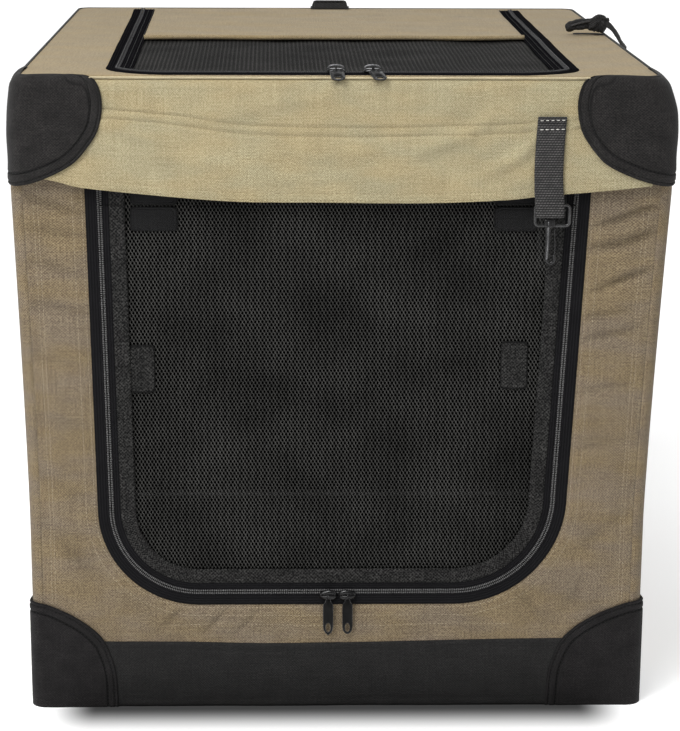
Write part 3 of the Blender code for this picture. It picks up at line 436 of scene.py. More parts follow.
YARN_PITCH = 0.0013
tan = woven("tan_cloth", (0.334, 0.272, 0.174), (0.106, 0.077, 0.051), 0.00128, patchy=0.09,
            hues=((1.03, 1.0, 0.9), (0.98, 0.99, 1.06)))
# The roof's copy of the tan cloth is lighter: painted light from above on the same cloth.
lit_top_tan = woven("tan_cloth_painted_top_light", (0.455, 0.368, 0.22), (0.19, 0.143, 0.08), 0.0012, patchy=0.06,
                hues=((1.03, 1.0, 0.92), (0.97, 0.98, 1.0)))
khaki = woven("khaki_cloth", (0.525, 0.463, 0.3), (0.245, 0.206, 0.114), 0.00115, patchy=0.06,
              hues=((1.03, 0.99, 0.94), (0.98, 1.0, 1.02)))
foot_charcoal = woven("foot_charcoal_cloth", (0.0225, 0.0205, 0.0205), (0.004, 0.0036, 0.0038), YARN_PITCH,
                      patchy=0.3, blotch=60.0, sheen=0.05)
charcoal = woven("charcoal_cloth", (0.031, 0.0285, 0.027), (0.005, 0.0046, 0.0046), YARN_PITCH,
                 patchy=0.3, blotch=60.0, sheen=0.08)
band_cloth = woven("band_cloth", (0.029, 0.028, 0.027), (0.0065,) * 3, YARN_PITCH, patchy=0.16, blotch=40.0,
                   sheen=0.05)
# The inside cloth is near black: painted shade for the dark inside of the crate.
shaded_lining = woven("lining_cloth_painted_shade", (0.0026, 0.0026, 0.0028), (0.0012,) * 3, YARN_PITCH, relief=0.0001, sheen=0.0,
               specular=0.02)
binding = woven("binding_cloth", (0.012, 0.012, 0.0128), (0.0028,) * 3, 0.0011, patchy=0.25, sheen=0.05,
                roughness=0.85)
knit = woven("knit_border_cloth", (0.044, 0.043, 0.041), (0.0022,) * 3, 0.0017, relief=0.0004, patchy=0.35,
             blotch=60.0, sheen=0.0, grain=0.45)
print("woven cloths:", [m.name for m in (tan, lit_top_tan, khaki, charcoal, band_cloth, shaded_lining, binding, knit)])

# %% [markdown]
# ## The cover as one wrapped surface
# Walls, flap, patches and the roof's rolled edge all lie on one shape: a rounded box.
# One function maps cloth coordinates to space. The first coordinate runs round the crate's plan, from the middle of
# the front; the second runs down from the roof's edge, first over a quarter round and then straight.
# A third gives the layer, so a patch lies outside the flap and the flap outside the wall without touching.

# %% The wrapped cover
(_, FRONT, _), (HALF_X, REAR, HEIGHT) = box_of("top_panel")
WALL_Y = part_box("wall_front")[0][1]
WALL_X, _, WALL_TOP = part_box("wall_right")[1]
PLAN_R, ROLL_R = 0.022, 0.012
# The stuffed corners stand out sideways, the right one further than the left.
COVER_SPREAD, WALL_SPREAD = (0.0048, 0.0108), (0.0088, 0.0146)


def plan_line():
    """Right half of the plan as a dense line: half the front, a corner arc, the side, a corner arc, half the rear."""
    a = np.linspace(-pi / 2, 0, 60)
    arc_1 = paired(HALF_X - PLAN_R + PLAN_R * np.cos(a), FRONT + PLAN_R + PLAN_R * np.sin(a))
    arc_2 = paired(arc_1[::-1, 0], REAR - PLAN_R - (arc_1[::-1, 1] - FRONT - PLAN_R))
    return resample(np.vstack([[[0, FRONT]], arc_1, arc_2, [[0, REAR]]]), 1600)


PLAN = plan_line()
PLAN_S = lengths(PLAN)
PLAN_TANGENT = unit(np.gradient(PLAN, axis=0))
TOP_CORNER_S = HALF_X - PLAN_R + PLAN_R * pi / 4


def on_plan(s):
    """Plan point and outward normal at the signed distance s from the middle of the front."""
    s = np.asarray(s, float)
    side, t = np.where(s < 0, -1.0, 1.0), np.abs(s)
    x, y, tx, ty = (np.interp(t, PLAN_S, line[:, k]) for line in (PLAN, PLAN_TANGENT) for k in (0, 1))
    size = np.hypot(tx, ty)
    return paired(side * x, y), paired(side * ty / size, -tx / size)


def on_cover(s, v, depth=0.0):
    """Point at plan distance s and cloth distance v below the roof's edge, moved out along the normal by depth.

    Over the roll, v = roll * angle: the point moves in by roll (1 - sin angle) and down by roll (1 - cos angle).
    Below it, the point only goes down.
    """
    s, v = np.broadcast_arrays(np.asarray(s, float), np.asarray(v, float))
    point, normal = on_plan(s)
    angle = np.clip(v / ROLL_R, 0, pi / 2)
    drop = ROLL_R * (1 - np.cos(angle)) + np.maximum(v - ROLL_R * pi / 2, 0)
    out = depth * np.sin(angle) - ROLL_R * (1 - np.sin(angle))
    x = point[..., 0] + normal[..., 0] * out
    spread = np.where(s < 0, *COVER_SPREAD) * step(0.24, 0.3, np.abs(x)) * step(0.0, 0.045, v)
    spread = spread * (1 - 0.6 * step(0.34, 0.62, np.abs(s)))
    return paired(x + np.sign(s) * spread, point[..., 1] + normal[..., 1] * out,
                  HEIGHT - drop + depth * np.cos(angle))


ROLL_GAIN = ROLL_R * (pi / 2 - 1)


def v_at(z):
    """Cloth distance below the roof's edge for a height under the roll."""
    return HEIGHT - np.asarray(z, float) + ROLL_GAIN


print("half width, front, rear, height:", np.round([HALF_X, FRONT, REAR, HEIGHT], 4))

# %% [markdown]
# ## The front wall
# The front is one tan panel with a U shaped opening for the door. A ring shaped grid suits it: each column is a ray
# from the middle of the door, which runs from the opening's edge to the panel's border.
# Cloth between a zip and a corner seam is never flat. It pulls into slanting creases under the patches,
# and these fade out beside the zip, which stays straight.

# %% Door outline and the front wall's relief
DOOR_LOW, DOOR_HIGH = 0.12, 0.503
# Half width at the top and at the bottom, and corner radius, left and right: the cloth is pulled a little askew.
DOOR_SIDES = ((0.2254, 0.2198, 0.084), (0.2226, 0.209, 0.096))


def door_line(top=DOOR_HIGH, count=900):
    """The door zip's centre line as points (x, z), from the left end round the bottom to the right end.

    Its upright runs lean a little, so a higher top is also wider.
    """
    a = np.linspace(pi, 3 * pi / 2, 60)
    halves = []
    for top_half, low_half, r in DOOR_SIDES:
        corner = paired(r - low_half + r * np.cos(a), DOOR_LOW + r + r * np.sin(a))
        lean = (top_half - low_half) / (DOOR_HIGH - DOOR_LOW - r)
        halves.append(np.vstack([[[-top_half - lean * (top - DOOR_HIGH), top]], corner]))
    return resample(np.vstack([halves[0], halves[1][::-1] * [-1, 1]]), count)


def line_normals(line):
    """Unit normals in the line's plane, to the right of its direction."""
    tangent = unit(np.gradient(line, axis=0))
    return paired(tangent[:, 1], -tangent[:, 0])


def offset_line(line, distance):
    """The line moved to its right by a distance."""
    return line + line_normals(line) * distance


# The zip's wall half runs on under the flap, above the door's own hinge line.
HEAD_TOP = 0.532
DOOR = door_line(HEAD_TOP, 960)


def nearest(u, v, line, stride=6):
    """Distance from each point to the nearest point of a line."""
    some = line[::stride]
    return np.hypot(u[..., None] - some[:, 0], v[..., None] - some[:, 1]).min(-1)


def crease(u, v, at, angle, width, length):
    """One soft fold: a ridge across, (1 - w^2) exp(-w^2), that fades along its length."""
    du, dv = u - at[0], v - at[1]
    along, across = du * cos(angle) + dv * sin(angle), -du * sin(angle) + dv * cos(angle)
    w = (across + 0.0016 * np.sin(along * 95 + 300 * at[1])) / width
    return (1 - w * w) * np.exp(-w * w) * np.exp(-(along / length) ** 2)


# Each valley's x, z, angle, half width, half length and depth, in mm but for the angle; the first seven are those of
# the right strip.
FRONT_CREASES = (
    (270, 494.5, 0.34, 5.4, 34, 4.4), (270, 470, 0.26, 7.8, 40, 5.4), (268, 432, 0.37, 5.6, 34, 4),
    (256, 399, 0.28, 6, 24, 2.2), (252, 376, 0.32, 6.6, 28, 3), (250, 324, 0.12, 7.6, 30, 2.2),
    (258, 270, 0.25, 8, 40, 1.8), (-262, 503, 2.84, 7, 45, 2.8), (-262, 477, 2.96, 8, 45, 3),
    (-262, 440, 2.9, 9, 45, 2.2), (-262, 402, 2.98, 8, 45, 2.4), (-262, 350, 2.84, 10, 45, 1.6),
    (-262, 290, 2.9, 11, 50, 1.6), (-262, 225, 2.6, 11, 45, 1.8), (-262, 165, 2.3, 11, 40, 2.4),
    (-120, 90, 0.8, 5, 18, 1.8), (-90, 88, 0.85, 5, 18, 1.6), (-160, 94, 0.7, 6, 20, 1.8),
    (190, 104, 2.4, 7, 26, 1.8), (258, 180, 0.6, 10, 40, 1.8), (230, 112, 1, 8, 30, 1.8),
)


def creased(u, v, table):
    """The sum of a table's folds, in metres."""
    total = 0 * u
    for at_u, at_v, angle, *sizes in table:
        width, length, depth = (size / 1000 for size in sizes)
        total = total + depth * crease(u, v, (at_u / 1000, at_v / 1000), angle, width, length)
    return total


def front_valleys(x, z):
    """Depth of the front wall's valleys, in metres."""
    return creased(x, z, FRONT_CREASES)


def front_relief(x, z):
    """How far the front wall stands out of its plane, in metres, from its creases, a pillow and soft waves."""
    clear = step(0.01, 0.024, nearest(x, z, DOOR))
    total = 0.0007 * waves(x, z, 4, 0.11) + 0.0004 * waves(x, z, 5, 0.035)
    total = total - front_valleys(x, z)
    pillow = 0.0022 * step(0.0, 0.03, 0.29 - np.abs(x)) * step(0.0, 0.04, z)
    return clear * (total + pillow) * step(0, 0.008, 0.289 - np.abs(x))


def wall_spread(x, z):
    """Sideways bulge of the walls: it grows as height to the power 1.3 up to the patches, and is less behind them."""
    most = np.where(x < 0, *WALL_SPREAD)
    grown = np.clip((z - 0.19) / 0.325, 0, 1) ** 1.3
    return np.sign(x) * most * step(0.24, 0.29, np.abs(x)) * grown * (1 - 0.65 * step(0.52, 0.56, z))


def on_front(x, z, depth=0.0):
    """Point on the front wall: x, z and how far outside the wall's own face."""
    x, z = np.broadcast_arrays(np.asarray(x, float), np.asarray(z, float))
    return paired(x + wall_spread(x, z), WALL_Y - depth - front_relief(x, z), z)


def closed_up(outline):
    """An outline with its first point again at the end."""
    return np.vstack([outline, outline[:1]])


def polar_radius(outline, centre, angles):
    """Radius of a closed outline seen from a centre, at each angle."""
    dense = resample(closed_up(outline), 6000) - centre
    a = np.arctan2(dense[:, 1], dense[:, 0])
    order = np.argsort(a)
    return np.interp(angles, a[order], np.hypot(dense[:, 0], dense[:, 1])[order], period=tau)


def ring_grid(inner, outer, centre, columns, rows):
    """Flat (rows, columns, 2) grid of rays between two outlines; its rays also pass the outlines' corners."""
    corners = np.vstack([sharp_points(inner), sharp_points(outer)]) - centre
    extra = np.arctan2(corners[:, 1], corners[:, 0])
    angles = np.sort(np.concatenate([np.linspace(-pi, pi, columns, endpoint=False), extra]))
    angles = angles[np.concatenate([[True], np.diff(angles) > 1e-4])]
    t = np.linspace(0, 1, rows)[:, None]
    radius = polar_radius(inner, centre, angles) * (1 - t) + polar_radius(outer, centre, angles) * t
    return paired(centre[0] + radius * np.cos(angles), centre[1] + radius * np.sin(angles))


def sharp_points(outline):
    """Corners of a closed outline that turn by more than 20 degrees."""
    before, after = np.roll(outline, 1, 0), np.roll(outline, -1, 0)
    a, b = outline - before, after - outline
    turn = np.abs(np.arctan2(a[:, 0] * b[:, 1] - a[:, 1] * b[:, 0], (a * b).sum(1)))
    return outline[turn > radians(20)]


def box_outline(x0, y0, x1, y1, radius=0.0, steps=10):
    """Closed rectangle outline, anticlockwise, with round corners if a radius is given."""
    if not radius:
        return np.array([(x0, y0), (x1, y0), (x1, y1), (x0, y1)], float)
    x0, y0, x1, y1 = x0 + radius, y0 + radius, x1 - radius, y1 - radius
    arcs = []
    for k, middle in enumerate(((x1, y0), (x1, y1), (x0, y1), (x0, y0))):
        a = np.linspace(0, pi / 2, steps) + (k - 1) * pi / 2
        arcs.append(middle + radius * paired(np.cos(a), np.sin(a)))
    return np.vstack(arcs)


# Half width between the front seams, and radius of the walls' upright corners.
SEAM_X, WALL_R = 0.2884, 0.012


def base_piece(thing, material, replaced=(), thickness=0.0, shaded_lining=None):
    """A piece sewn to the standing walls: it rides on the base body, with its own copy of its mesh."""
    finish_piece(thing, material, "base", replaced, thickness, shaded_lining)
    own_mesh(thing)
    return thing


# %% Front wall
opening = offset_line(DOOR, 0.0045)
border = box_outline(-SEAM_X, 0.0, SEAM_X, WALL_TOP - 0.002)
flat = ring_grid(opening, border, np.array([0.0, 0.31]), 1020, 38)
front_wall = grid_object("front_wall_cloth", on_front(flat[..., 0], flat[..., 1]), flat, around=True, turn=True)
# Painted shade in the crease valleys, made a little ragged.
ragged = 0.7 + 0.3 * waves(flat[..., 0], flat[..., 1], 71, 0.02)
paint_shade(front_wall, 0.36 * ragged * np.clip(front_valleys(flat[..., 0], flat[..., 1]) / 0.0045, 0, 1))
base_piece(front_wall, tan, ["wall_front"], CLOTH, shaded_lining)
print("front wall:", len(front_wall.data.polygons), "faces")
# %% [markdown]
# ## The side and rear walls
# Each side wall starts at the seam beside the front, turns the corner, and ends behind the rear corner.
# Its mesh window is a rectangle with round corners. Between frame and window the cloth hangs with long soft waves.

# %% Side walls, rear wall and floor
WINDOW_Y, WINDOW_Z = zip(*(corner[1:] for corner in box_of("window_right")))


def wall_line():
    """Right wall's plan from the front seam to the rear seam."""
    a = np.linspace(-pi / 2, 0, 40)
    front_arc = paired(WALL_X - WALL_R + WALL_R * np.cos(a), WALL_Y + WALL_R + WALL_R * np.sin(a))
    rear_arc = paired(front_arc[::-1, 0], REAR - WALL_R - (front_arc[::-1, 1] - WALL_Y - WALL_R))
    return resample(np.vstack([front_arc, rear_arc]), 1200)


WALL_LINE = wall_line()
WALL_S = lengths(WALL_LINE)
WALL_NORMAL = line_normals(WALL_LINE)
# Distance behind the seam, height and angle of the ridges that the corners pull into a side wall.
SIDE_CREASES = ((0.07, 0.5, -0.6), (0.08, 0.42, -0.5), (0.06, 0.16, 0.7), (0.6, 0.52, 0.6), (0.62, 0.14, -0.7))


def on_side(side, s, z, depth=0.0):
    """Point on a side wall at the distance s behind the front seam, with its waves and pillow."""
    s, z = np.broadcast_arrays(np.asarray(s, float), np.asarray(z, float))
    x, y, nx, ny = (np.interp(s, WALL_S, line[:, k]) for line in (WALL_LINE, WALL_NORMAL) for k in (0, 1))
    inside = step(0.0, 0.06, s - 0.02) * step(0.0, 0.06, WALL_S[-1] - 0.02 - s)
    inside = inside * step(0, 0.05, z - 0.01) * step(0, 0.05, WALL_TOP - z)
    bulge = 0.003 + 0.0022 * waves(s, z, 21 + side, 0.16) + 0.001 * waves(s, z, 31 + side, 0.06)
    for at_s, at_z, angle in SIDE_CREASES:
        bulge = bulge + 0.0028 * crease(s, z, (at_s, at_z), angle, 0.012, 0.07)
    behind_patch = step(0.49, 0.53, z) * step(0.14, 0.1, s)
    out = depth + inside * bulge * (1 - 0.8 * behind_patch)
    x_now = side * (x + nx * out)
    spread = wall_spread(x_now, z) * (1 - 0.5 * step(0.1, 0.4, s)) * step(0.01, 0.09, WALL_S[-1] - s)
    return paired(x_now + spread, y + ny * out, z)


S_OF_Y = WALL_S[np.searchsorted(WALL_LINE[:, 1], 0.0)]
window_s = (S_OF_Y + WINDOW_Y[0], S_OF_Y + WINDOW_Y[1])
window_edge = box_outline(window_s[0] + 0.004, WINDOW_Z[0] + 0.004, window_s[1] - 0.004, WINDOW_Z[1] - 0.004, 0.03)
side_border = box_outline(0.0, 0.0, WALL_S[-1], WALL_TOP - 0.002)
window_centre = np.array([sum(window_s) / 2, sum(WINDOW_Z) / 2])
side_flat = ring_grid(window_edge, side_border, window_centre, 420, 36)
for name, side in SIDES:
    surface = on_side(side, side_flat[..., 0], side_flat[..., 1])
    wall = grid_object(f"{name}_wall_cloth", surface, side_flat, around=True, turn=side > 0)
    base_piece(wall, tan, [f"wall_{name}"], CLOTH, shaded_lining)

REAR_HALF = WALL_X - 0.0116
rear_x, rear_z = np.meshgrid(np.linspace(-REAR_HALF, REAR_HALF, 110), np.linspace(0, WALL_TOP - 0.002, 90))
rear_edge = step(0, 0.05, REAR_HALF - np.abs(rear_x)) * step(0, 0.05, rear_z) * step(0, 0.05, WALL_TOP - rear_z)
rear_out = rear_edge * (0.003 + 0.0024 * waves(rear_x, rear_z, 41, 0.18) + 0.001 * waves(rear_x, rear_z, 42, 0.06))
rear_points = paired(rear_x, REAR + rear_out, rear_z)
rear_wall = grid_object("rear_wall_cloth", rear_points, paired(rear_x, rear_z), turn=True)
base_piece(rear_wall, tan, ["wall_rear"], CLOTH, shaded_lining)

floor_low, floor_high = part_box("floor_panel")
fx, fy = np.meshgrid(np.linspace(floor_low[0], floor_high[0], 60), np.linspace(floor_low[1], floor_high[1], 66))
floor_z = floor_high[2] - 0.0003 - 0.0004 * (1 + waves(fx, fy, 51, 0.12))
floor_cloth = grid_object("floor_cloth", paired(fx, fy, floor_z), paired(fx, fy))
# The floor's cloth takes the near-black inside cloth: painted shade.
finish_piece(floor_cloth, shaded_lining, "base", ["floor_panel"], 0.0028)
print("walls: left, right, rear; floor", [round(v, 3) for v in floor_high])

# %% [markdown]
# ## Dark band and corner patches
# A heavier dark cloth guards the crate's foot and its corners. Each patch is one rounded piece sewn round a corner,
# so a fan of rays suits it: every ray starts at the corner's edge and ends on the sewn outline.
# The outline is a smooth curve through a few listed points. A turned border with a groove for its stitches
# runs along it, and the last rows slope down, so that the cloth looks laid on and not cut out.

# %% Patches and band
def on_wall(s, z, depth):
    """Point on the walls at the signed distance s from the middle of the front, whichever wall that is."""
    s, z = np.broadcast_arrays(np.asarray(s, float), np.asarray(z, float))
    t = np.maximum(np.abs(s) - SEAM_X, 0)
    flat_part = on_front(np.clip(s, -SEAM_X, SEAM_X), z, depth)
    side_part = np.where((s < 0)[..., None], on_side(-1, t, z, depth), on_side(1, t, z, depth))
    return np.where((np.abs(s) <= SEAM_X)[..., None], flat_part, side_part)


HEM_WIDE = 0.018


def fan(knots, centre, columns=160):
    """Rays from a centre to a smooth outline through the knots: (rows, columns, 2), and distance from the outline.

    The rows stand 0.45 mm apart over the sewn border, and wide apart inside it.
    """
    edge = smooth_curve(knots, columns)
    reach = np.linalg.norm(edge - centre, axis=-1)
    border = np.linspace(0, HEM_WIDE, 40)[:, None] + 0 * reach
    inner = HEM_WIDE + (reach - HEM_WIDE) * np.linspace(0, 1, 24)[1:, None]
    distance = np.vstack([border, inner])[::-1]
    return edge + (centre - edge) * (distance / reach)[..., None], distance


def hem_step(distance, seams, edge=0.0018, drop=0.0012, groove=0.0013, width=0.001):
    """Depth profile of a sewn border: it slopes down at the edge and dips along each seam."""
    total = -drop * (1 - step(0, edge, distance))
    for seam in seams:
        total = total - groove * np.exp(-((distance - seam) / width) ** 2)
    return total


def seam_shade(thing, knots, side, seam, corner_s):
    """Paint shade on a patch along its seam's groove and at its very edge; its UV map gives each point's place in the
    fan.
    """
    uv = np.zeros(len(thing.data.loops) * 2, np.float32)
    thing.data.uv_layers[0].data.foreach_get("uv", uv)
    owner = np.zeros(len(thing.data.loops), np.int32)
    thing.data.loops.foreach_get("vertex_index", owner)
    flat = np.zeros((len(thing.data.vertices), 2))
    flat[owner] = uv.reshape(-1, 2)
    u, v = corner_s - side * flat[:, 0], flat[:, 1]
    distance = nearest(u, v, smooth_curve(knots, 760), 1)
    paint_shade(thing, 0.75 * np.exp(-((distance - seam) / 0.0011) ** 2) + 0.55 * (1 - step(0.0004, 0.0016, distance)))


LOW_CORNER_S, LOW_POLE, LOW_LAYER, LOW_SEAMS = SEAM_X + WALL_R * pi / 4, np.zeros(2), 0.0031, (0.0035, 0.0105)
LOW_KNOTS = np.array([
    (76, 0), (74.5, 36), (68, 61), (60, 76), (45, 90), (25, 102), (0, 109.5), (-33, 104), (-58, 92), (-77, 76),
    (-87, 58), (-93, 36), (-95, 0),
]) / 1000


def low_outline(side):
    """The bottom patches reach further over the front than round the corner, the right one most."""
    return LOW_KNOTS * np.where(LOW_KNOTS[:, :1] > 0, (1.07 if side < 0 else 1.2, 1.0), 1.0)


for name, side in SIDES:
    low_knots = low_outline(side)
    grid, edge_distance = fan(low_knots, LOW_POLE)
    s = side * (LOW_CORNER_S - grid[..., 0])
    surface = on_wall(s, grid[..., 1], LOW_LAYER + hem_step(edge_distance, LOW_SEAMS))
    patch = grid_object(f"{name}_bottom_patch_cloth", surface, paired(s, grid[..., 1]), turn=side < 0)
    repair(patch, WELD, outwards=False)
    seam_shade(patch, low_knots, side, LOW_SEAMS[1], LOW_CORNER_S)
    base_piece(patch, foot_charcoal, [f"bottom_patch_{name}"], CLOTH)

BAND_KNOTS = np.array([
    (-232, 69.5), (-150, 68.5), (-80, 67), (10, 67.5), (90, 69), (160, 70.5), (226, 71),
]) / 1000
band_top = smooth_curve(BAND_KNOTS, 200)
bx = np.broadcast_to(band_top[:, 0], (34, 200))
rise = np.linspace(0, 1, 34)[:, None]
bz = band_top[:, 1] * rise
layer = 0.0017 + hem_step(band_top[:, 1] - bz, (0.0075,)) - 0.0004 * np.exp(-((bz - 0.0085) / 0.001) ** 2)
layer = layer - 0.0007 * (1 - step(0, 0.002, bz))
band = grid_object("bottom_band_cloth", on_front(bx, bz, layer), paired(bx, bz))
base_piece(band, band_cloth, ["bottom_band"], 0.001)

TOP_POLE, TOP_LAYER, TOP_SEAMS = np.array([0.0, 0.003]), 0.0014, (0.003, 0.011)
TOP_KNOTS = np.array([
    (56, 3), (68, 6), (76, 15), (79.5, 30), (78.5, 47), (73, 64), (56, 86), (36, 98.5), (15, 106.5), (-5, 109),
    (-30, 106), (-55, 95), (-76, 76), (-88, 54), (-91, 31), (-87, 15), (-78, 6), (-65, 3),
]) / 1000
for name, side in SIDES:
    grid, edge_distance = fan(TOP_KNOTS, TOP_POLE)
    swirl = paired(np.sin(9 * grid[..., 1] * tau), np.cos(7 * grid[..., 0] * tau))
    grid = grid + 0.0007 * swirl * step(0, 0.02, np.hypot(grid[..., 0], grid[..., 1]))[..., None]
    s = side * (TOP_CORNER_S - grid[..., 0])
    dents = 0.0016 * waves(grid[..., 0], grid[..., 1], 61 + side, 0.07) * step(0, 0.02, edge_distance)
    surface = on_cover(s, grid[..., 1], TOP_LAYER + hem_step(edge_distance, TOP_SEAMS) + dents)
    patch = grid_object(f"{name}_top_patch_cloth", surface, paired(s, grid[..., 1]), turn=side > 0)
    repair(patch, WELD, outwards=False)
    seam_shade(patch, TOP_KNOTS, side, TOP_SEAMS[1], TOP_CORNER_S)
    finish_piece(patch, charcoal, "top_frame", [f"top_patch_{name}"], CLOTH)
print("patches and band done")

# %% [markdown]
# ## The front flap
# A khaki flap hangs from the roof's front edge over the top of the door. It is a single cloth, so it is a grid in the
# cover's own coordinates. Its hem sags in the middle. Two rows of stitches cross it and pull a shallow valley each,
# and its ends are held under the patches, so tension lines fan out from there.

# %% Front flap
HEM_KNOTS = np.array([
    (-300, 534.5), (-265, 527.5), (-237, 520.7), (-160, 513.1), (-86, 508), (0, 507.5), (84, 507), (151, 509.8),
    (207, 515), (255, 519.2), (300, 525.5),
]) / 1000
SEAM_KNOTS = np.array([
    (-300, 602), (-217, 594.5), (-152, 588.5), (-86, 580), (8, 577.5), (100, 579), (187, 582.6), (300, 592.5),
]) / 1000
hem_curve, seam_curve = smooth_curve(HEM_KNOTS, 300), smooth_curve(SEAM_KNOTS, 300)
SEAM_GAP = 0.0085
STRAP_X = 0.199


def hem_z(x):
    """Height of the flap's hem."""
    return np.interp(x, hem_curve[:, 0], hem_curve[:, 1])


def seam_z(x):
    """Height of the flap's upper row of stitches."""
    return np.interp(x, seam_curve[:, 0], seam_curve[:, 1])


FLAP_CREASES = (
    (-190, 572, -0.3, 10, 60, 2.4), (-150, 548, -0.18, 12, 70, 2), (-70, 598, 0.16, 10, 70, 1.6),
    (20, 556, 0.06, 14, 80, 2), (110, 570, 0.42, 10, 45, 2.4), (165, 552, 0.55, 9, 40, 2.8),
    (60, 600, -0.12, 10, 60, 0.9), (195, 604, 0.35, 8, 35, 1), (-20, 530, 0.02, 10, 90, 1.1),
)


def flap_layer(x, v):
    """Depth of the flap's outer face below the cover's outermost layer."""
    z = HEIGHT + ROLL_GAIN - v
    total = 0.0005 * waves(x, z, 71, 0.09) + 0.0003 * waves(x, z, 72, 0.03) + creased(x, z, FLAP_CREASES)
    for offset in (0.0, SEAM_GAP):
        total = total - 0.0014 * np.exp(-((z - seam_z(x) + offset) / 0.0017) ** 2)
    down = step(0.55, 1.0, (HEIGHT - z) / (HEIGHT - hem_z(x)))
    sway = 0.0009 * (1 + np.sin(x * tau / 0.155 + 0.6)) * down * (1 - step(0.04, 0.016, np.abs(x - STRAP_X)))
    above_hem = z - hem_z(x)
    hem = 0.0004 * (1 - step(0.0075, 0.0095, above_hem)) - 0.0004 * np.exp(-((above_hem - 0.0085) / 0.001) ** 2)
    edge = step(0.0, 0.02, 0.262 - np.abs(x)) * (1 - 0.85 * step(0.024, 0.014, np.abs(x - STRAP_X)))
    tucked = -0.001 - 0.001 * step(0, ROLL_R * pi / 2, v)
    return tucked + step(0.004, 0.018, v) * edge * total + edge * sway + hem


flap_x = np.linspace(-0.284, 0.284, 244)
flap_rows = np.linspace(0, 1, 130)[:, None]
flap_start = 0.0045
flap_v = flap_start + (v_at(hem_z(flap_x)) - flap_start) * flap_rows
flap_s = np.broadcast_to(flap_x, flap_v.shape)
flap = grid_object("front_flap_cloth", on_cover(flap_s, flap_v, flap_layer(flap_s, flap_v)), paired(flap_s, -flap_v),
                   turn=True)
finish_piece(flap, khaki, "top_frame", ["front_valance"], 0.0011)
print("flap hem at the middle:", round(float(hem_z(0)), 4))

# %% [markdown]
# ## The roof
# The roof panel is stretched between the tubes and sinks a little between them. It has a U shaped opening for the
# hatch and rolls over the tubes at its border, where piping hides the seam: light at the front, dark elsewhere.

# %% Roof panel
HATCH_HALF, HATCH_FRONT, HATCH_REAR, HATCH_R = 0.22, FRONT + 0.022, REAR - 0.036, 0.052


def hatch_line():
    """The hatch zip's centre line as points (x, y), from the left rear end round the front to the right rear end."""
    a = np.linspace(pi, 3 * pi / 2, 40)
    corner = paired(HATCH_R - HATCH_HALF + HATCH_R * np.cos(a), HATCH_FRONT + HATCH_R + HATCH_R * np.sin(a))
    half = np.vstack([[[-HATCH_HALF, HATCH_REAR]], corner])
    return resample(np.vstack([half, half[::-1] * [-1, 1]]), 1100)


HATCH = hatch_line()


def roof_sag(x, y):
    """How far the roof sinks: up to 2.6 mm between the tubes, with slow waves, and none at the border."""
    beside, behind = HALF_X - np.abs(x), y - FRONT
    inside = step(0, 0.1, beside - 0.01) * step(0, 0.1, behind - 0.01) * step(0, 0.1, REAR - 0.01 - y)
    uneven = waves(x, y, 81, 0.12) * step(0, 0.04, beside - 0.012) * step(0, 0.03, behind - 0.012)
    return 0.0006 * uneven - 0.0026 * inside


def on_roof(x, y, depth=0.0):
    """Point on the roof; towards the front the cloth draws the hatch in a little."""
    x, y = np.broadcast_arrays(np.asarray(x, float), np.asarray(y, float))
    forward = np.clip((REAR - y) / (REAR - FRONT), 0, 1)
    drawn_in = np.where(x < 0, 0.05, 0.012) * forward * (1 - step(0.24, 0.29, np.abs(x)))
    return paired(x * (1 - drawn_in), y, HEIGHT + depth + roof_sag(x, y))


roof_centre = np.array([0.0, 0.02])
round_s = np.linspace(-PLAN_S[-1], PLAN_S[-1], 6000)
rim, rim_normal = on_plan(round_s)
rim = rim - rim_normal * ROLL_R
rim_angle = np.arctan2(rim[:, 1] - roof_centre[1], rim[:, 0])
hatch_edge = offset_line(HATCH, 0.0045)
rays = np.linspace(-pi, pi, 640, endpoint=False)
hatch_corners = np.arctan2(hatch_edge[[0, -1], 1] - roof_centre[1], hatch_edge[[0, -1], 0])
rays = np.sort(np.concatenate([rays, hatch_corners]))
inner_radius = polar_radius(hatch_edge, roof_centre, rays)
order = np.argsort(rim_angle)
ray_s = np.interp(rays, rim_angle[order], round_s[order], period=None)
rim_point, rim_n = on_plan(ray_s)
rim_point = rim_point - rim_n * ROLL_R
inner_point = roof_centre + paired(np.cos(rays), np.sin(rays)) * inner_radius[:, None]
blend_rows = np.linspace(0, 1, 26)[:, None, None]
roof_flat = inner_point + (rim_point - inner_point) * blend_rows
skirt = 0.006 + 0.0165 * step(0.225, 0.262, np.abs(ray_s))
skirt_depth = -0.0012 - 0.001 * step(0.225, 0.262, np.abs(ray_s))
skirt_v = skirt * np.linspace(0, 1, 15)[1:, None]
skirt_points = on_cover(np.broadcast_to(ray_s, skirt_v.shape), skirt_v, skirt_depth * step(0, 0.012, skirt_v))
roof_points = np.vstack([on_roof(roof_flat[..., 0], roof_flat[..., 1]), skirt_points])
skirt_flat = rim_point + rim_n * skirt_v[..., None]
roof = grid_object("roof_cloth", roof_points, np.vstack([roof_flat, skirt_flat]), around=True, turn=True)
finish_piece(roof, lit_top_tan, "top_frame", ["top_panel"], CLOTH, shaded_lining)


def tube_points(line, normal, radius, sides=8, ends=True):
    """A round cord along a line: a ring of points at each step, narrowed to 0.3 of its radius at both ends when ends
    is set.
    """
    line = np.asarray(line, float)
    tangent = unit(np.gradient(line, axis=0))
    side = unit(np.cross(tangent, normal))
    over = np.cross(side, tangent)
    a = once_round(sides)[:, None]
    size = np.full(len(line), radius)
    if ends:
        size[0] = size[-1] = radius * 0.3
    return line[:, None] + size[:, None, None] * (np.cos(a) * side[:, None] + np.sin(a) * over[:, None])


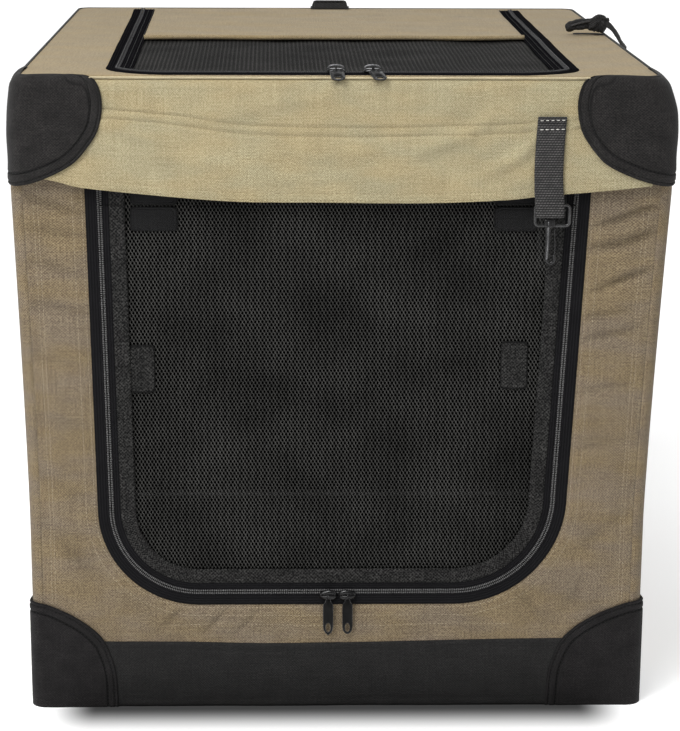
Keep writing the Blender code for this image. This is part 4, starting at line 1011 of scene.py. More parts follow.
def capped(name, rings, uv=None):
    """Rings of points joined into one closed cord with flat caps."""
    rows, sides = rings.shape[:2]
    thing = grid_object(name, rings, uv, around=True)
    form = bmesh.new()
    form.from_mesh(thing.data)
    form.verts.ensure_lookup_table()
    form.faces.new([form.verts[i] for i in range(sides)][::-1])
    form.faces.new([form.verts[(rows - 1) * sides + i] for i in range(sides)])
    bmesh.ops.recalc_face_normals(form, faces=form.faces)
    form.to_mesh(thing.data)
    form.free()
    return thing


def cord_uv(line, sides):
    """UV for a cord: its length, and its way round as 8 mm."""
    return paired(lengths(line)[:, None], np.linspace(0, 0.008, sides)[None, :])


def wire(name, line, radius, normal, sides=10, closed=False):
    """A round wire along a line of points; a closed one joins its ends."""
    line = np.asarray(line, float)
    if closed:
        padded = np.vstack([line[-1:], line, line[:1]])
        rings = tube_points(padded, normal, radius, sides, ends=False)[1:-1]
        return repair(grid_object(name, rings, cord_uv(line, sides), around=True, along=True), FINE_WELD)
    return capped(name, tube_points(line, normal, radius, sides, ends=True), cord_uv(line, sides))


dark_piping = woven("dark_piping", (0.03, 0.029, 0.028), (0.007, 0.007, 0.007), 0.0009)
light_piping = woven("light_piping", (0.7, 0.62, 0.42), (0.42, 0.35, 0.22), 0.0009)
for name, first, last, v, radius, cloth, slot in (
    ("roof_piping_front", -0.232, 0.232, 0.0072, 0.0011, light_piping, "khaki_cloth"),
    ("roof_piping_left", -PLAN_S[-1] + 0.001, -(TOP_CORNER_S - 0.052), 0.005, 0.0011, dark_piping, "charcoal_cloth"),
    ("roof_piping_right", TOP_CORNER_S - 0.052, PLAN_S[-1] - 0.001, 0.005, 0.0011, dark_piping, "charcoal_cloth"),
):
    run = np.linspace(first, last, 500)
    line = on_cover(run, np.full(500, v), 0.0003)
    cord = wire(name, line, radius, (0, 0.3, 1), 8)
    finish_piece(cord, cloth, "top_frame")
print("roof:", len(roof.data.polygons), "faces")

# %% [markdown]
# ## Knitted mesh
# The door, the hatch and the windows are a knitted mesh with small staggered holes, about 3.4 mm apart.
# It is real geometry: each hole is a hexagon, and flat threads fill the rest. Because the holes repeat, the whole net
# is index arithmetic: every cell owns a strip to three of its six neighbours and the two knots between them.
# The upright strips are the knit's ribs. They stand a little proud, and each corner also gets a tone, which the
# material reads as a painted highlight on the ribs. The binding hides the ragged border.

# %% Net
def net(name, outline, pitch, place, thread=0.36, band=None, stripe=None):
    """Staggered hexagonal net inside a closed outline; place(u, v, lift) puts its points in space.

    Cell (i, j) has its middle at ((i + (j mod 2) / 2) pitch, 0.87 j pitch), and its hole's radius is (1 - thread)
    times half the pitch, longer upwards. band keeps only the cells between two values of v, and stripe is the
    distance between raised ribs that run along v.
    """
    low, high = outline.min(0), outline.max(0)
    columns, rows = int((high[0] - low[0]) / pitch) + 2, int((high[1] - low[1]) / (0.87 * pitch)) + 2
    j, i = np.meshgrid(np.arange(rows), np.arange(columns), indexing="ij")
    u = low[0] + (i + (j % 2) / 2 - 0.25) * pitch
    v = low[1] + 0.87 * j * pitch
    centre = outline.mean(0)
    angle = np.arctan2(v - centre[1], u - centre[0])
    kept = np.hypot(u - centre[0], v - centre[1]) < polar_radius(outline, centre, angle)
    if band:
        kept &= (v > band[0]) & (v < band[1])
    number = np.full((rows, columns), -1)
    number[kept] = np.arange(kept.sum())
    radius = (1 - thread) * pitch / 2 * 1.155
    corner = radians(30) + np.arange(6) * tau / 6
    pu = u[kept][:, None] + radius * np.cos(corner)
    pv = v[kept][:, None] + 1.1 * radius * np.sin(corner)
    odd = j % 2

    def neighbour(dj, even_di, odd_di):
        jj, ii = j + dj, i + np.where(odd == 1, odd_di, even_di)
        good = (jj >= 0) & (jj < rows) & (ii >= 0) & (ii < columns)
        return np.where(good, number[np.clip(jj, 0, rows - 1), np.clip(ii, 0, columns - 1)], -1)

    here, east, north_east, north_west = number, neighbour(0, 1, 1), neighbour(1, 0, 1), neighbour(1, -1, 0)

    def corners(*pairs):
        """Corner numbers of a face from (cell, hole corner) pairs, where every cell is kept."""
        good = np.logical_and.reduce([cell >= 0 for cell, _ in pairs])
        return np.stack([cell[good] * 6 + k for cell, k in pairs], -1)

    quads = np.vstack([
        corners((here, 5), (east, 3), (east, 2), (here, 0)),
        corners((here, 0), (north_east, 4), (north_east, 3), (here, 1)),
        corners((here, 1), (north_west, 5), (north_west, 4), (here, 2)),
    ])
    knots = np.vstack([
        corners((here, 0), (east, 2), (north_east, 4)), corners((here, 1), (north_east, 3), (north_west, 5)),
    ])
    faces = np.vstack([quads[:, [0, 1, 2]], quads[:, [0, 2, 3]], knots])
    flat = paired(pu.ravel(), pv.ravel())
    # The tone lifts the ribs and is also their painted highlight; without stripes it falls in slanted light dashes.
    rib = np.tile(np.where(np.arange(6) % 3 == 1, 0.0, 1.0), (len(pu), 1))
    if stripe:
        tone = (0.5 + 0.5 * np.cos(pu * tau / stripe)).ravel() ** 1.5
    else:
        turns = u[kept] / (2.2 * pitch) + 0.5 * np.sin(v[kept] * tau / (9 * pitch)) / 3
        lean = 0.5 + 0.5 * np.cos(turns[:, None] * tau)
        tone = (rib * (0.45 + 0.55 * lean)).ravel()
    thing = mesh_object(name, place(flat[:, 0], flat[:, 1], 0.0004 * tone), faces, flat)
    thing.data.attributes.new("tone", "FLOAT", "POINT").data.foreach_set("value", tone.astype(np.float32))
    print(name, "cells:", int(kept.sum()), "triangles:", len(faces))
    return thing


def thread_material(name, valley, ridge):
    """Knitted thread: the tone attribute mixes a shaded grey with a painted highlight grey, with a fine twist and soft
    unevenness.
    """
    look = Look(name, 0.8, specular=0.06)
    grain, slow = (look.noise(look.uv(), scale, 2.0) for scale in (700.0, 14.0))
    tone = look.node("Attribute", attribute_name="tone")["Fac"]
    share = look.maths("MULTIPLY", tone, look.ranged(look.maths("ADD", grain, slow), 0.7, 1.3, 0.35, 1.25),
                       clamp=True)
    return look.finish(look.mix(share, valley, ridge), grain, 0.0002, 0.6)


door_thread = thread_material("door_net_thread", (0.004, 0.004, 0.0038), (0.074, 0.073, 0.069))
roof_thread = thread_material("roof_net_thread", (0.003, 0.003, 0.0029), (0.052, 0.05, 0.047))
DOOR_PITCH, HATCH_PITCH, WINDOW_PITCH, RIB_PITCH = 0.00345, 0.0038, 0.004, 0.0043


def door_relief(x, z):
    """The mesh door hangs a little slack: slow waves up to 2.5 mm, none at its border."""
    inside = step(0.012, 0.07, nearest(x, z, DOOR, 10)) * step(0.0, 0.06, np.abs(z - DOOR_HIGH))
    ripple = 0.0009 * np.sin(x * tau / 0.075 + 1.0) * step(0.15, 0.3, z)
    return inside * (0.0012 + 0.0014 * waves(x, z, 91, 0.15) + ripple)


def on_door(x, z, depth=0.0):
    """Point on the door, which hangs behind the wall's face."""
    x, z = np.broadcast_arrays(np.asarray(x, float), np.asarray(z, float))
    return paired(x, WALL_Y - depth + door_relief(x, z), z)


BIND_NEAR, BIND_IN = 0.0088, 0.0236
DOOR_TOP = DOOR_HIGH - 0.0005


def door_piece(thing, material, replaced=(), thickness=0.0):
    """A piece of the door: it swings with the door, and has its own copy of its mesh."""
    finish_piece(thing, material, "door", replaced, thickness)
    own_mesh(thing)
    return thing


# The net of the door goes on above the hinge line as a fixed strip under the flap.
net_outline = offset_line(DOOR, -0.021)
door_net = net("door_net", net_outline, DOOR_PITCH, lambda u, v, lift: on_door(u, v, lift - 0.0012),
               band=(0, DOOR_TOP - 0.0012))
door_piece(door_net, door_thread, ["door_mesh"])
head_net = net("door_head_net", net_outline, DOOR_PITCH, lambda u, v, lift: on_door(u, v, lift - 0.0016),
               band=(DOOR_TOP - 0.0045, HEAD_TOP))
base_piece(head_net, door_thread)

hatch_hem = FRONT + 0.345
hatch_outline = offset_line(HATCH, -0.0125)
hatch_outline = hatch_outline[hatch_outline[:, 1] < hatch_hem + 0.012]


def on_hatch(u, v, lift):
    """Point on the hatch's net, which lies a little uneven."""
    return on_roof(u, v, -0.0008 + 2 * lift + 0.0008 * waves(u, v, 95, 0.08))


hatch_net = net("hatch_net", hatch_outline, HATCH_PITCH, on_hatch, 0.5, stripe=RIB_PITCH)
finish_piece(hatch_net, roof_thread, "hatch", ["hatch_mesh"])

for name, side in SIDES:
    window_net = net(f"{name}_window_net", window_edge, WINDOW_PITCH,
                     lambda u, v, lift, side=side: on_side(side, u, v, lift - 0.0014), 0.46)
    base_piece(window_net, door_thread, [f"window_{name}"])

# %% [markdown]
# ## Binding and tapes
# Every raw edge is bound or taped. A ribbon is a line offset to both sides: its columns are distances from the line,
# so one function makes the zip tapes, the door's knit border and the window's border.
# Its depth profile gives the woven tape a rounded edge and fine lengthwise ribs.

# %% Ribbons
def ribbon(name, line, near, far, place, depth, facing, columns=16, ribs=0.0, rib_pitch=0.0012, edge=0.0008,
           closed=False):
    """A ribbon beside a line, from the distance near to far, as a grid; its UV is (length, width) in metres."""
    line = np.vstack([line[:-1:2], line[-1:]])
    normals = line_normals(np.vstack([line[-2:-1], line, line[1:2]]))[1:-1] if closed else line_normals(line)
    across = np.linspace(near, far, columns)
    flat = line[:, None] + normals[:, None] * across[:, None]
    low, high = min(near, far), max(near, far)
    inside = np.minimum(across - low, high - across)
    layer = depth - edge * (1 - step(0, 0.0012, inside)) + ribs * np.cos(across * tau / rib_pitch)
    points = place(flat[..., 0], flat[..., 1], np.broadcast_to(layer, flat.shape[:2]))
    uv = paired(lengths(line)[:, None], across[None, :])
    return face_out(grid_object(name, points, uv), facing)


def face_out(thing, outward):
    """Turn a piece over if its faces look the wrong way."""
    normals = np.zeros(len(thing.data.polygons) * 3, np.float32)
    thing.data.polygons.foreach_get("normal", normals)
    if (normals.reshape(-1, 3) @ np.array(outward, float)).sum() < 0:
        thing.data.flip_normals()
    return thing


def tape_material(name, light, shine):
    """Zip tape: dense lengthwise ribs with a fine cross weave."""
    look = Look(name, 0.8, specular=shine)
    place = look.uv()
    parts = look.split(place)
    height = look.maths("MULTIPLY_ADD", look.yarns(parts[0], 0.0007), 0.35, look.yarns(parts[1], 0.0013))
    share = look.maths("MULTIPLY_ADD", look.noise(place, 45.0, 4.0), 0.5, look.ranged(height, -1.4, 1.4, 0.0, 0.6))
    return look.finish(look.mix(share, (0.0016, 0.0016, 0.002), light), height, 0.0003, 0.8)


tape_cloth = tape_material("zip_tape_cloth", (0.0105, 0.0102, 0.0115), 0.1)
roof_tape_cloth = tape_material("roof_zip_tape_cloth", (0.012, 0.0115, 0.013), 0.0)
SLOT, TAPE, HATCH_TAPE, TAPE_LAYER = 0.0005, 0.0135, 0.0115, 0.0012
DOOR_RIBS, ROOF_RIBS = dict(ribs=0.00012, rib_pitch=0.0026), dict(ribs=0.00025, rib_pitch=0.003)
door_run = door_line(DOOR_TOP)
hatch_run = HATCH[HATCH[:, 1] < HATCH_REAR - 0.0008]
outwards, upwards = (0, -1, 0), (0, 0, 1)
wall_tape = ribbon("door_tape_wall_side", DOOR, SLOT, TAPE, on_front, TAPE_LAYER, outwards, **DOOR_RIBS)
base_piece(wall_tape, tape_cloth, ["door_zip_wall_side"], TAPE_CLOTH)
inner_tape = ribbon("door_tape_door_side", door_run, -SLOT, -TAPE, on_front, TAPE_LAYER, outwards, **DOOR_RIBS)
door_piece(inner_tape, tape_cloth, ["door_zip_door_side"], TAPE_CLOTH)
door_binding = ribbon("door_binding", door_run, -BIND_NEAR, -BIND_IN, on_door, 0.0024, outwards, 20, edge=0.0012)
door_piece(door_binding, knit, (), THIN_CLOTH)

roof_tape = ribbon("hatch_tape_roof_side", HATCH, SLOT, HATCH_TAPE, on_roof, TAPE_LAYER, upwards, **ROOF_RIBS)
finish_piece(roof_tape, roof_tape_cloth, "top_frame", ["hatch_zip_top_side"], TAPE_CLOTH)
hatch_tape = ribbon("hatch_tape_hatch_side", hatch_run, -SLOT, -HATCH_TAPE - 0.004, on_roof, TAPE_LAYER, upwards, 18,
                    **ROOF_RIBS)
finish_piece(hatch_tape, roof_tape_cloth, "hatch", ["hatch_zip_hatch_side"], TAPE_CLOTH)

window_loop = resample(closed_up(window_edge), 500)
for name, side in SIDES:
    strip = ribbon(f"{name}_window_binding", window_loop, 0.011, -0.011, partial(on_side, side), TAPE_LAYER,
                   (side, 0, 0), 14, closed=True)
    base_piece(strip, binding, (), TAPE_CLOTH)
print("tapes and bindings done")

# %% [markdown]
# ## Coil zips
# The teeth are one nylon coil on each tape. Seen from outside, a coil is a row of rounded loops.
# Its surface is a half round along the zip whose height swells and sinks with each loop, 1.8 mm apart.
# The two rows are half a loop out of step, so they mesh.

# %% Coils
COIL_PITCH = 0.0018


def coil(name, line, side, place, facing, phase=0.0, width=0.0022, height=0.0016):
    """One row of loops: across, the height is sqrt(1 - t^2); along, it swells by the cosine of the distance."""
    run = resample(line, int(lengths(line)[-1] / COIL_PITCH * 6))
    normals = line_normals(run)
    s = lengths(run)
    t = np.linspace(-1, 1, 8)
    swell = 0.5 + 0.5 * np.cos(s * tau / COIL_PITCH + phase)
    across = side * (0.0002 + width / 2) + t * width / 2 * (0.75 + 0.25 * swell[:, None])
    rise = 0.001 + height * np.sqrt(np.clip(1 - t ** 2, 0, 1)) * (0.35 + 0.65 * swell[:, None] ** 0.7)
    flat = run[:, None] + normals[:, None] * across[..., None]
    points = place(flat[..., 0], flat[..., 1], rise)
    uv = paired(s[:, None] + phase / tau * COIL_PITCH, across)
    return face_out(grid_object(name, points, uv), facing)


def coil_material(name, light, shine):
    """Dark nylon with a painted highlight on each loop and painted shade in the gaps between loops, broken by dusty
    noise.
    """
    look = Look(name, 0.3, specular=shine)
    place = look.uv()
    dust = look.noise(place, 90.0, 2.0)
    loops = look.yarns(look.split(place)[0], COIL_PITCH / 2, pi / 2)
    colour = look.mix(look.maths("MULTIPLY_ADD", loops, 0.75, dust, clamp=True), (0.003, 0.003, 0.004), light)
    return look.finish(colour, rough=look.ranged(dust, 0.3, 0.7, 0.24, 0.42))


nylon = coil_material("coil_nylon", (0.128, 0.126, 0.124), 0.35)
roof_nylon = coil_material("roof_coil_nylon", (0.05, 0.049, 0.05), 0.05)
base_piece(coil("door_coil_wall_side", DOOR, 1, on_front, outwards), nylon)
door_piece(coil("door_coil_door_side", door_run, -1, on_front, outwards, pi), nylon)
finish_piece(coil("hatch_coil_roof_side", HATCH, 1, on_roof, upwards), roof_nylon, "top_frame")
finish_piece(coil("hatch_coil_hatch_side", hatch_run, -1, on_roof, upwards, pi), roof_nylon, "hatch")

# The fixed ends of the door's half of the zip, which the flap hides above the hinge line.
for name, end in (("left", DOOR[:60]), ("right", DOOR[-60:])):
    under = end[end[:, 1] > DOOR_TOP - 0.0016]
    head_tape = ribbon(f"door_head_tape_{name}", under, -SLOT, -TAPE, on_front, 0.0001, outwards, **DOOR_RIBS)
    base_piece(head_tape, tape_cloth, (), TAPE_CLOTH)
    head_binding = ribbon(f"door_head_binding_{name}", under, -BIND_NEAR, -BIND_IN, on_door, 0.0013, outwards, 20,
                          edge=0.0012)
    base_piece(head_binding, knit, (), THIN_CLOTH)
    end = end[end[:, 1] > DOOR_TOP + 0.0003]
    base_piece(coil(f"door_head_coil_{name}", end, -1, on_front, outwards, pi), nylon)
print("coils done")

# %% [markdown]
# ## The hatch's cover flap and the door's small loop tapes
# A tan flap covers the rear part of the hatch's mesh and can be rolled back, so its front edge is a full rolled hem.
# Four dark loop tapes sit on the door's mesh, two under the flap and two half way down: they hold the rolled up door.

# %% Cover flap and loop tapes
flap_half = HATCH_HALF - HATCH_TAPE - 0.003
cover_x = np.linspace(-flap_half, flap_half, 132)
hem_roll = np.linspace(-pi / 2, 3 * pi / 2, 26)[:-1]
hem_r = 0.0028
hem_line = hatch_hem + 0.0012 * np.sin(cover_x * tau / 0.21 + 0.4)
rear_v = np.linspace(0, 1, 110)[1:, None] ** 0.8
hem_y = hem_line + hem_r * np.sin(hem_roll + pi)[:, None]
hem_height = 0.0012 + hem_r * (1 + np.cos(hem_roll + pi))[:, None] * 0.9 + 0 * cover_x
cover_y = hem_line + 0.004 + (HATCH_REAR - 0.0008 - hem_line - 0.004) * rear_v
rumple = 0.0016 * waves(cover_x * 0.3 + 0 * cover_y, cover_y, 101, 0.045)
rumple = rumple + 0.0006 * waves(cover_x + 0 * cover_y, cover_y, 102, 0.09)
rear_drop = 0.12 + 0.88 * step(0, 0.016, HATCH_REAR - 0.0008 - cover_y)
cover_height = 0.0034 * rear_drop + rear_drop * rumple * step(0, 0.02,
        flap_half - np.abs(cover_x)) + 0.0016 * np.exp(-((cover_y - hem_line - 0.004) / 0.004) ** 2)
cover_flat_y = np.vstack([hem_y, cover_y])
cover_flat_x = np.broadcast_to(cover_x, cover_flat_y.shape)
cover_points = on_roof(cover_flat_x, cover_flat_y, np.vstack([hem_height, cover_height]))
around_hem = np.vstack([hatch_hem + hem_r * (hem_roll[:, None] - hem_roll[-1]) + 0 * cover_x, cover_y])
cover = grid_object("hatch_cover_flap_cloth", cover_points, paired(cover_flat_x, around_hem))
finish_piece(face_out(cover, upwards), lit_top_tan, "hatch", ["hatch_cover_flap"], TAPE_CLOTH)
# A facing sewn under the roof's rear edge closes the slit behind the flap.
facing_x, facing_y = np.meshgrid(np.linspace(-HATCH_HALF - 0.004, HATCH_HALF + 0.004, 90),
                                 np.linspace(HATCH_REAR - 0.011, HATCH_REAR + 0.004, 8))
facing = grid_object("hatch_rear_facing_cloth", on_roof(facing_x, facing_y, -0.0016), paired(facing_x, facing_y))
finish_piece(face_out(facing, upwards), lit_top_tan, "top_frame", (), THIN_CLOTH)


def loop_tape(name, low, high, place):
    """A small tape with round corners and a stitched groove near its edge, as rings round its middle."""
    edge = box_outline(*low, *high, 0.004)
    spread = np.linspace(0, 1, 22)[:, None, None] ** 0.6
    disc = edge.mean(0) + (closed_up(edge) - edge.mean(0)) * spread
    height = 0.0009 - 0.0006 * step(0.9, 1.0,
                                    spread[..., 0]) - 0.0005 * np.exp(-((spread[..., 0] - 0.82) / 0.04) ** 2)
    loop = grid_object(name, place(disc[..., 0], disc[..., 1], height), disc)
    repair(loop, WELD, outwards=False)
    points = np.zeros(len(loop.data.vertices) * 3, np.float32)
    loop.data.vertices.foreach_get("co", points)
    points = points.reshape(-1, 3)
    # Painted shade along the tape's sloping rim.
    paint_shade(loop, 0.8 * (nearest(points[:, 0], points[:, 2], edge, 1) < 0.0016))
    return face_out(loop, outwards)


for name, low, high in (
    ("upper_left", (-0.197, 0.478), (-0.152, 0.5015)), ("upper_right", (0.146, 0.478), (0.187, 0.5015)),
    ("middle_left", (-0.2, 0.321), (-0.176, 0.368)), ("middle_right", (0.155, 0.324), (0.181, 0.371)),
):
    tape_look = binding if name.startswith("upper") else knit
    door_piece(loop_tape(f"door_loop_tape_{name}", low, high, on_door), tape_look, (), THIN_CLOTH)
for name, low, high in (("left", (-0.197, 0.5035), (-0.152, 0.526)), ("right", (0.146, 0.5035), (0.187, 0.526))):
    base_piece(loop_tape(f"door_head_loop_tape_{name}", low, high, on_door), binding, (), THIN_CLOTH)
print("door and hatch done")

# %% [markdown]
# ## Metal and plastic
# Zip pulls and the hook are blackened metal with thin random wear; painted highlights light their rims and ridges.
# The frame is steel tube with a dark powder coat, and its corner blocks are moulded plastic with a fine grain.
# These patterns are three dimensional noise in object coordinates, so they need no UV map.

# %% Hard materials
def hard_material(name, dark, light, roughness, metallic, grain_size, depth, wear=0.0, wear_colour=(0.3, 0.3, 0.31),
                  shine=0.5):
    """Noise in two sizes: the large one varies colour and roughness, the small one is the surface's grain.

    wear lightens the places where the large noise is highest, as where paint has rubbed.
    """
    look = Look(name, roughness, metallic=metallic, specular=shine)
    place = look.node("TexCoord")["Object"]
    slow, fine = look.noise(place, 55.0, 4.0, Roughness=0.6), look.noise(place, grain_size, 2.0)
    colour = look.mix(look.ranged(slow, 0.35, 0.68), dark, light)
    if wear:
        colour = look.mix(look.ranged(slow, 0.64, 0.74, 0.0, wear), colour, wear_colour)
    return look.finish(colour, fine, depth, 0.5, look.ranged(fine, 0.3, 0.7, roughness - 0.07, roughness + 0.1))


black_metal = hard_material("blackened_metal", (0.0035, 0.0035, 0.0035), (0.011, 0.0108, 0.011), 0.2, 0.0, 900.0,
                            0.00003, 0.06, shine=0.38)
pull_enamel = hard_material("black_pull_enamel", (0.003, 0.003, 0.003), (0.0085, 0.0083, 0.0083), 0.34, 0.0, 900.0,
                            0.00004, 0.05, shine=0.1)
rim_highlight_paint = hard_material("pull_rim_painted_highlight", (0.01, 0.01, 0.0105), (0.08, 0.079, 0.08), 0.3, 0.1, 700.0,
                         0.00003, 0.5, (0.3, 0.3, 0.3), shine=0.2)
ring_plastic = hard_material("ring_plastic", (0.008, 0.008, 0.008), (0.045, 0.045, 0.045), 0.22, 0.0, 900.0, 0.00003,
                             0.3, (0.16, 0.16, 0.16), shine=0.5)
hook_plastic = hard_material("hook_plastic", (0.003, 0.003, 0.003), (0.008, 0.0078, 0.0078), 0.24, 0.0, 1200.0,
                             0.00003, shine=0.45)
ridge_highlight_paint = hard_material("hook_ridge_painted_highlight", (0.06, 0.06, 0.062), (0.18, 0.18, 0.184), 0.25, 0.3, 900.0, 0.00003,
                           0.6, (0.5, 0.5, 0.51))
frame_steel = hard_material("frame_steel", (0.018, 0.018, 0.019), (0.04, 0.04, 0.042), 0.42, 0.3, 700.0, 0.00012,
                            0.35)
corner_plastic = hard_material("corner_plastic", (0.012, 0.012, 0.012), (0.026, 0.026, 0.027), 0.55, 0.0, 1400.0,
                               0.0001)
for name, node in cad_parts.items():
    made = frame_steel if "tube" in name or "post" in name else corner_plastic if "corner" in name else hook_plastic
    for place in node.material_slots:
        place.material = made
print("frame nodes carry steel, plastic and hook finishes")

# %% [markdown]
# ## Sliders and pulls
# Two sliders meet in the middle of each zip. A slider is a small domed shield with a wire bridge along its back,
# and the pull hangs from that bridge by a ring. The pull is a flat plate with a pointed end and an oval hole.
# A plate with a hole is a closed ring: a small rounded profile goes from the hole's edge to the outline and back.

# %% Plates, shields and wires
def put(local, origin, across, along, out):
    """Local (u, w, h) points placed in space by an origin and three directions."""
    basis = np.stack([np.asarray(v, float) for v in (across, along, out)])
    return np.asarray(origin, float) + np.asarray(local, float) @ basis


def holed_plate(name, outer, inner, thickness, bevel, frame_of, columns=72):
    """A flat plate with one hole; the profile between hole and outline is a rectangle with bevelled corners."""
    middle = inner.mean(0)
    rim = resample(closed_up(outer), columns + 1)[:-1]
    angles = np.arctan2(*(rim - middle).T[::-1])
    hole_r = polar_radius(inner, middle, angles)
    rim_r = np.linalg.norm(rim - middle, axis=1)
    half, b = thickness / 2, bevel
    profile = ((0, -half + b, 0), (0, half - b, 0), (0, half, b), (0.5, half, 0), (1, half, -b), (1, half - b, 0),
               (1, -half + b, 0), (1, -half, -b), (0.5, -half, 0), (0, -half, b))
    rows = []
    for share, height, inset in profile:
        radius = hole_r + (rim_r - hole_r) * share + inset
        flat = middle + paired(np.cos(angles), np.sin(angles)) * radius[:, None]
        rows.append(np.column_stack([flat, np.full(columns, height)]))
    local = np.stack(rows)
    return repair(grid_object(name, put(local, *frame_of), local[..., :2], around=True, along=True), FINE_WELD)


def shield(name, frame_of, length=0.0168, width=0.0108, height=0.003, tail=0.72):
    """A slider's upper plate: a closed dome over a shield outline, height (1 - r^5), with a flat underside."""
    angle = once_round(48)
    squareness = (np.abs(np.cos(angle)) ** 3.2 + np.abs(np.sin(angle)) ** 3.2) ** (-1 / 3.2)
    narrow = 1 - (1 - tail) * step(-0.2, 1.0, np.cos(angle))
    edge_u, edge_w = np.cos(angle) * squareness * length / 2, np.sin(angle) * squareness * narrow * width / 2
    r = np.concatenate([np.linspace(0.02, 1, 14), np.linspace(1, 0.02, 5)])
    rise = np.concatenate([height * (1 - 0.75 * np.linspace(0.02, 1, 14) ** 5), np.zeros(5)])
    local = paired(r[:, None] * edge_u, r[:, None] * edge_w, np.broadcast_to(rise[:, None], (19, 48)))
    return capped(name, put(local, *frame_of), local[..., :2])


PULL_HALF = np.array([(2.1, -0.6), (2.5, -3.2), (4.5, -6.4), (4.75, -9.0), (4.75, -29.5), (4.2, -33.2),
                      (2.5, -36.3)]) / 1000
PULL_LENGTH, PULL_TIP, PULL_TIP_ROUND = 0.0385, -0.0385, -0.0372


def pull_outline(length, tip):
    """The plate's outline: right half, tip, then the left half mirrored; the shaft stretches with the length."""
    half = PULL_HALF.copy()
    half[:, 1] *= length / PULL_LENGTH
    tip_row = [[0.0, tip * length / PULL_LENGTH]]
    return np.vstack([half, tip_row, half[::-1] * [-1, 1]])


def slider_set(body_slider, body_pull, prefix, at, run, down, out, length, tip, flip, skew=0.0, tilt=0.0, wide=1.0):
    """Slider, bridge, ring and plate of one zip pull; run is along the zip, down is where the plate points."""
    at, run, down, out = (np.asarray(v, float) for v in (at, run, down, out))
    frame_of = (at + out * 0.0022, run * flip, down, out)
    body = shield(f"{prefix}_slider_body", frame_of)
    finish_piece(body, black_metal, body_slider, [f"{prefix}_slider"])
    a = np.linspace(0, pi, 22)
    arch = paired(-0.007 * np.cos(a), 0 * a, 0.0022 + 0.0036 * np.sin(a) ** 0.6)
    bridge = wire(f"{prefix}_slider_bridge", put(arch, *frame_of), 0.00095, down)
    # The hatch sliders' bridges take a painted highlight.
    finish_piece(bridge, ridge_highlight_paint if tilt else black_metal, body_slider)
    turned = cos(skew) * down + sin(skew) * run
    beside = cos(skew) * run - sin(skew) * down
    turned, out = cos(tilt) * turned - sin(tilt) * out, cos(tilt) * out + sin(tilt) * turned
    ring_a = once_round(28)
    pivot = at + out * 0.0052
    ring = paired(0 * ring_a, 0.0014 - 0.0024 * np.cos(ring_a), 0.0019 * np.sin(ring_a))
    loop = wire(f"{prefix}_pull_ring", put(ring, pivot, beside, turned, out), 0.0007, beside, closed=True)
    finish_piece(loop, black_metal, body_pull)
    outer = pull_outline(length, tip) * [wide, -1]
    hole_a = once_round(40)
    hole_y, hole_half = 0.0305 * length / PULL_LENGTH, 0.005 * min(1, length / PULL_LENGTH)
    inner = paired(0.0026 * wide * np.cos(hole_a), hole_y + hole_half * np.sin(hole_a))
    plate_space = (pivot + turned * 0.0028 - out * 0.0004, beside, turned, out)
    plate = holed_plate(f"{prefix}_pull_plate", outer, inner, 0.0016, 0.00045, plate_space)
    finish_piece(plate, pull_enamel, body_pull, [f"{prefix}_pull"])
    # Light wires round the plate's edge and hole: painted highlights.
    for part, edge, count in (("rim", outer, 90), ("hole_rim", inner, 41)):
        line = put(paired(*resample(closed_up(edge), count)[:-1].T, 0.0006), *plate_space)
        rim = wire(f"{prefix}_pull_{part}", line, 0.0003, out, 6, closed=True)
        finish_piece(rim, rim_highlight_paint, body_pull)


mid_z = middle_of("door_zip_left_slider")[2]
for side, name, tip in ((-1, "left", PULL_TIP), (1, "right", PULL_TIP_ROUND)):
    x = middle_of(f"door_zip_{name}_slider")[0]
    pull_low, pull_high = box_of(f"door_zip_{name}_pull")
    slider_set(f"door_{name}_slider", f"door_{name}_pull", f"door_zip_{name}", (x, WALL_Y - 0.0008, mid_z + 0.0006),
               (1, 0, 0), (0, 0, -1), outwards, pull_high[2] - pull_low[2] - 0.0008, tip, side)
    hx, hy, _ = middle_of(f"hatch_zip_{name}_slider")
    pull_low, pull_high = box_of(f"hatch_zip_{name}_pull")
    slider_set(f"hatch_{name}_slider", f"hatch_{name}_pull", f"hatch_zip_{name}", (hx, hy, HEIGHT + 0.0004),
               (1, 0, 0), (0, -1, 0), upwards, pull_high[1] - pull_low[1] - 0.0004, tip, side,
               skew=0.08 if side < 0 else 0.3, tilt=0.3, wide=1.35)
print("sliders and pulls done")

# %% [markdown]
# ## Webbing
# The hook strap is ribbed webbing sewn to the flap under its double seam. It hangs down, passes round the ring's top
# bar and comes back up behind itself. A strap is a path with a width: one parameter runs along it, the other across.
# Cross ribs and rounded edges are real relief. The material adds the small slanted floats on every rib, and a painted
# highlight on the rib tops.

# %% Webbing helper and material
def webbing_material(name, dark, light, rib=0.0031):
    """Ribbed webbing: ribs across, short slanted floats along every rib, and a painted highlight on the high parts."""
    look = Look(name, 0.6, 0.06, specular=0.3)
    place = look.uv()
    parts = look.split(place)
    floats = look.yarns(look.maths("MULTIPLY_ADD", parts[0], 0.6, parts[1]), 0.0014)
    height = look.maths("MULTIPLY_ADD", floats, 0.55, look.yarns(parts[0], rib / 2, pi / 2))
    rib_highlight = look.maths("MULTIPLY", look.noise(place, 160.0, 3.0), look.ranged(height, -0.3, 1.5, 0.0, 0.9))
    share = look.maths("MULTIPLY", rib_highlight, 1.7, clamp=True)
    return look.finish(look.mix(share, dark, light), height, 0.00025, 0.7)


webbing = webbing_material("black_webbing", (0.003, 0.0028, 0.0028), (0.118, 0.112, 0.109), 0.0023)
smooth_webbing = webbing_material("fine_black_webbing", (0.004, 0.0038, 0.0038), (0.036, 0.034, 0.034), 0.0016)

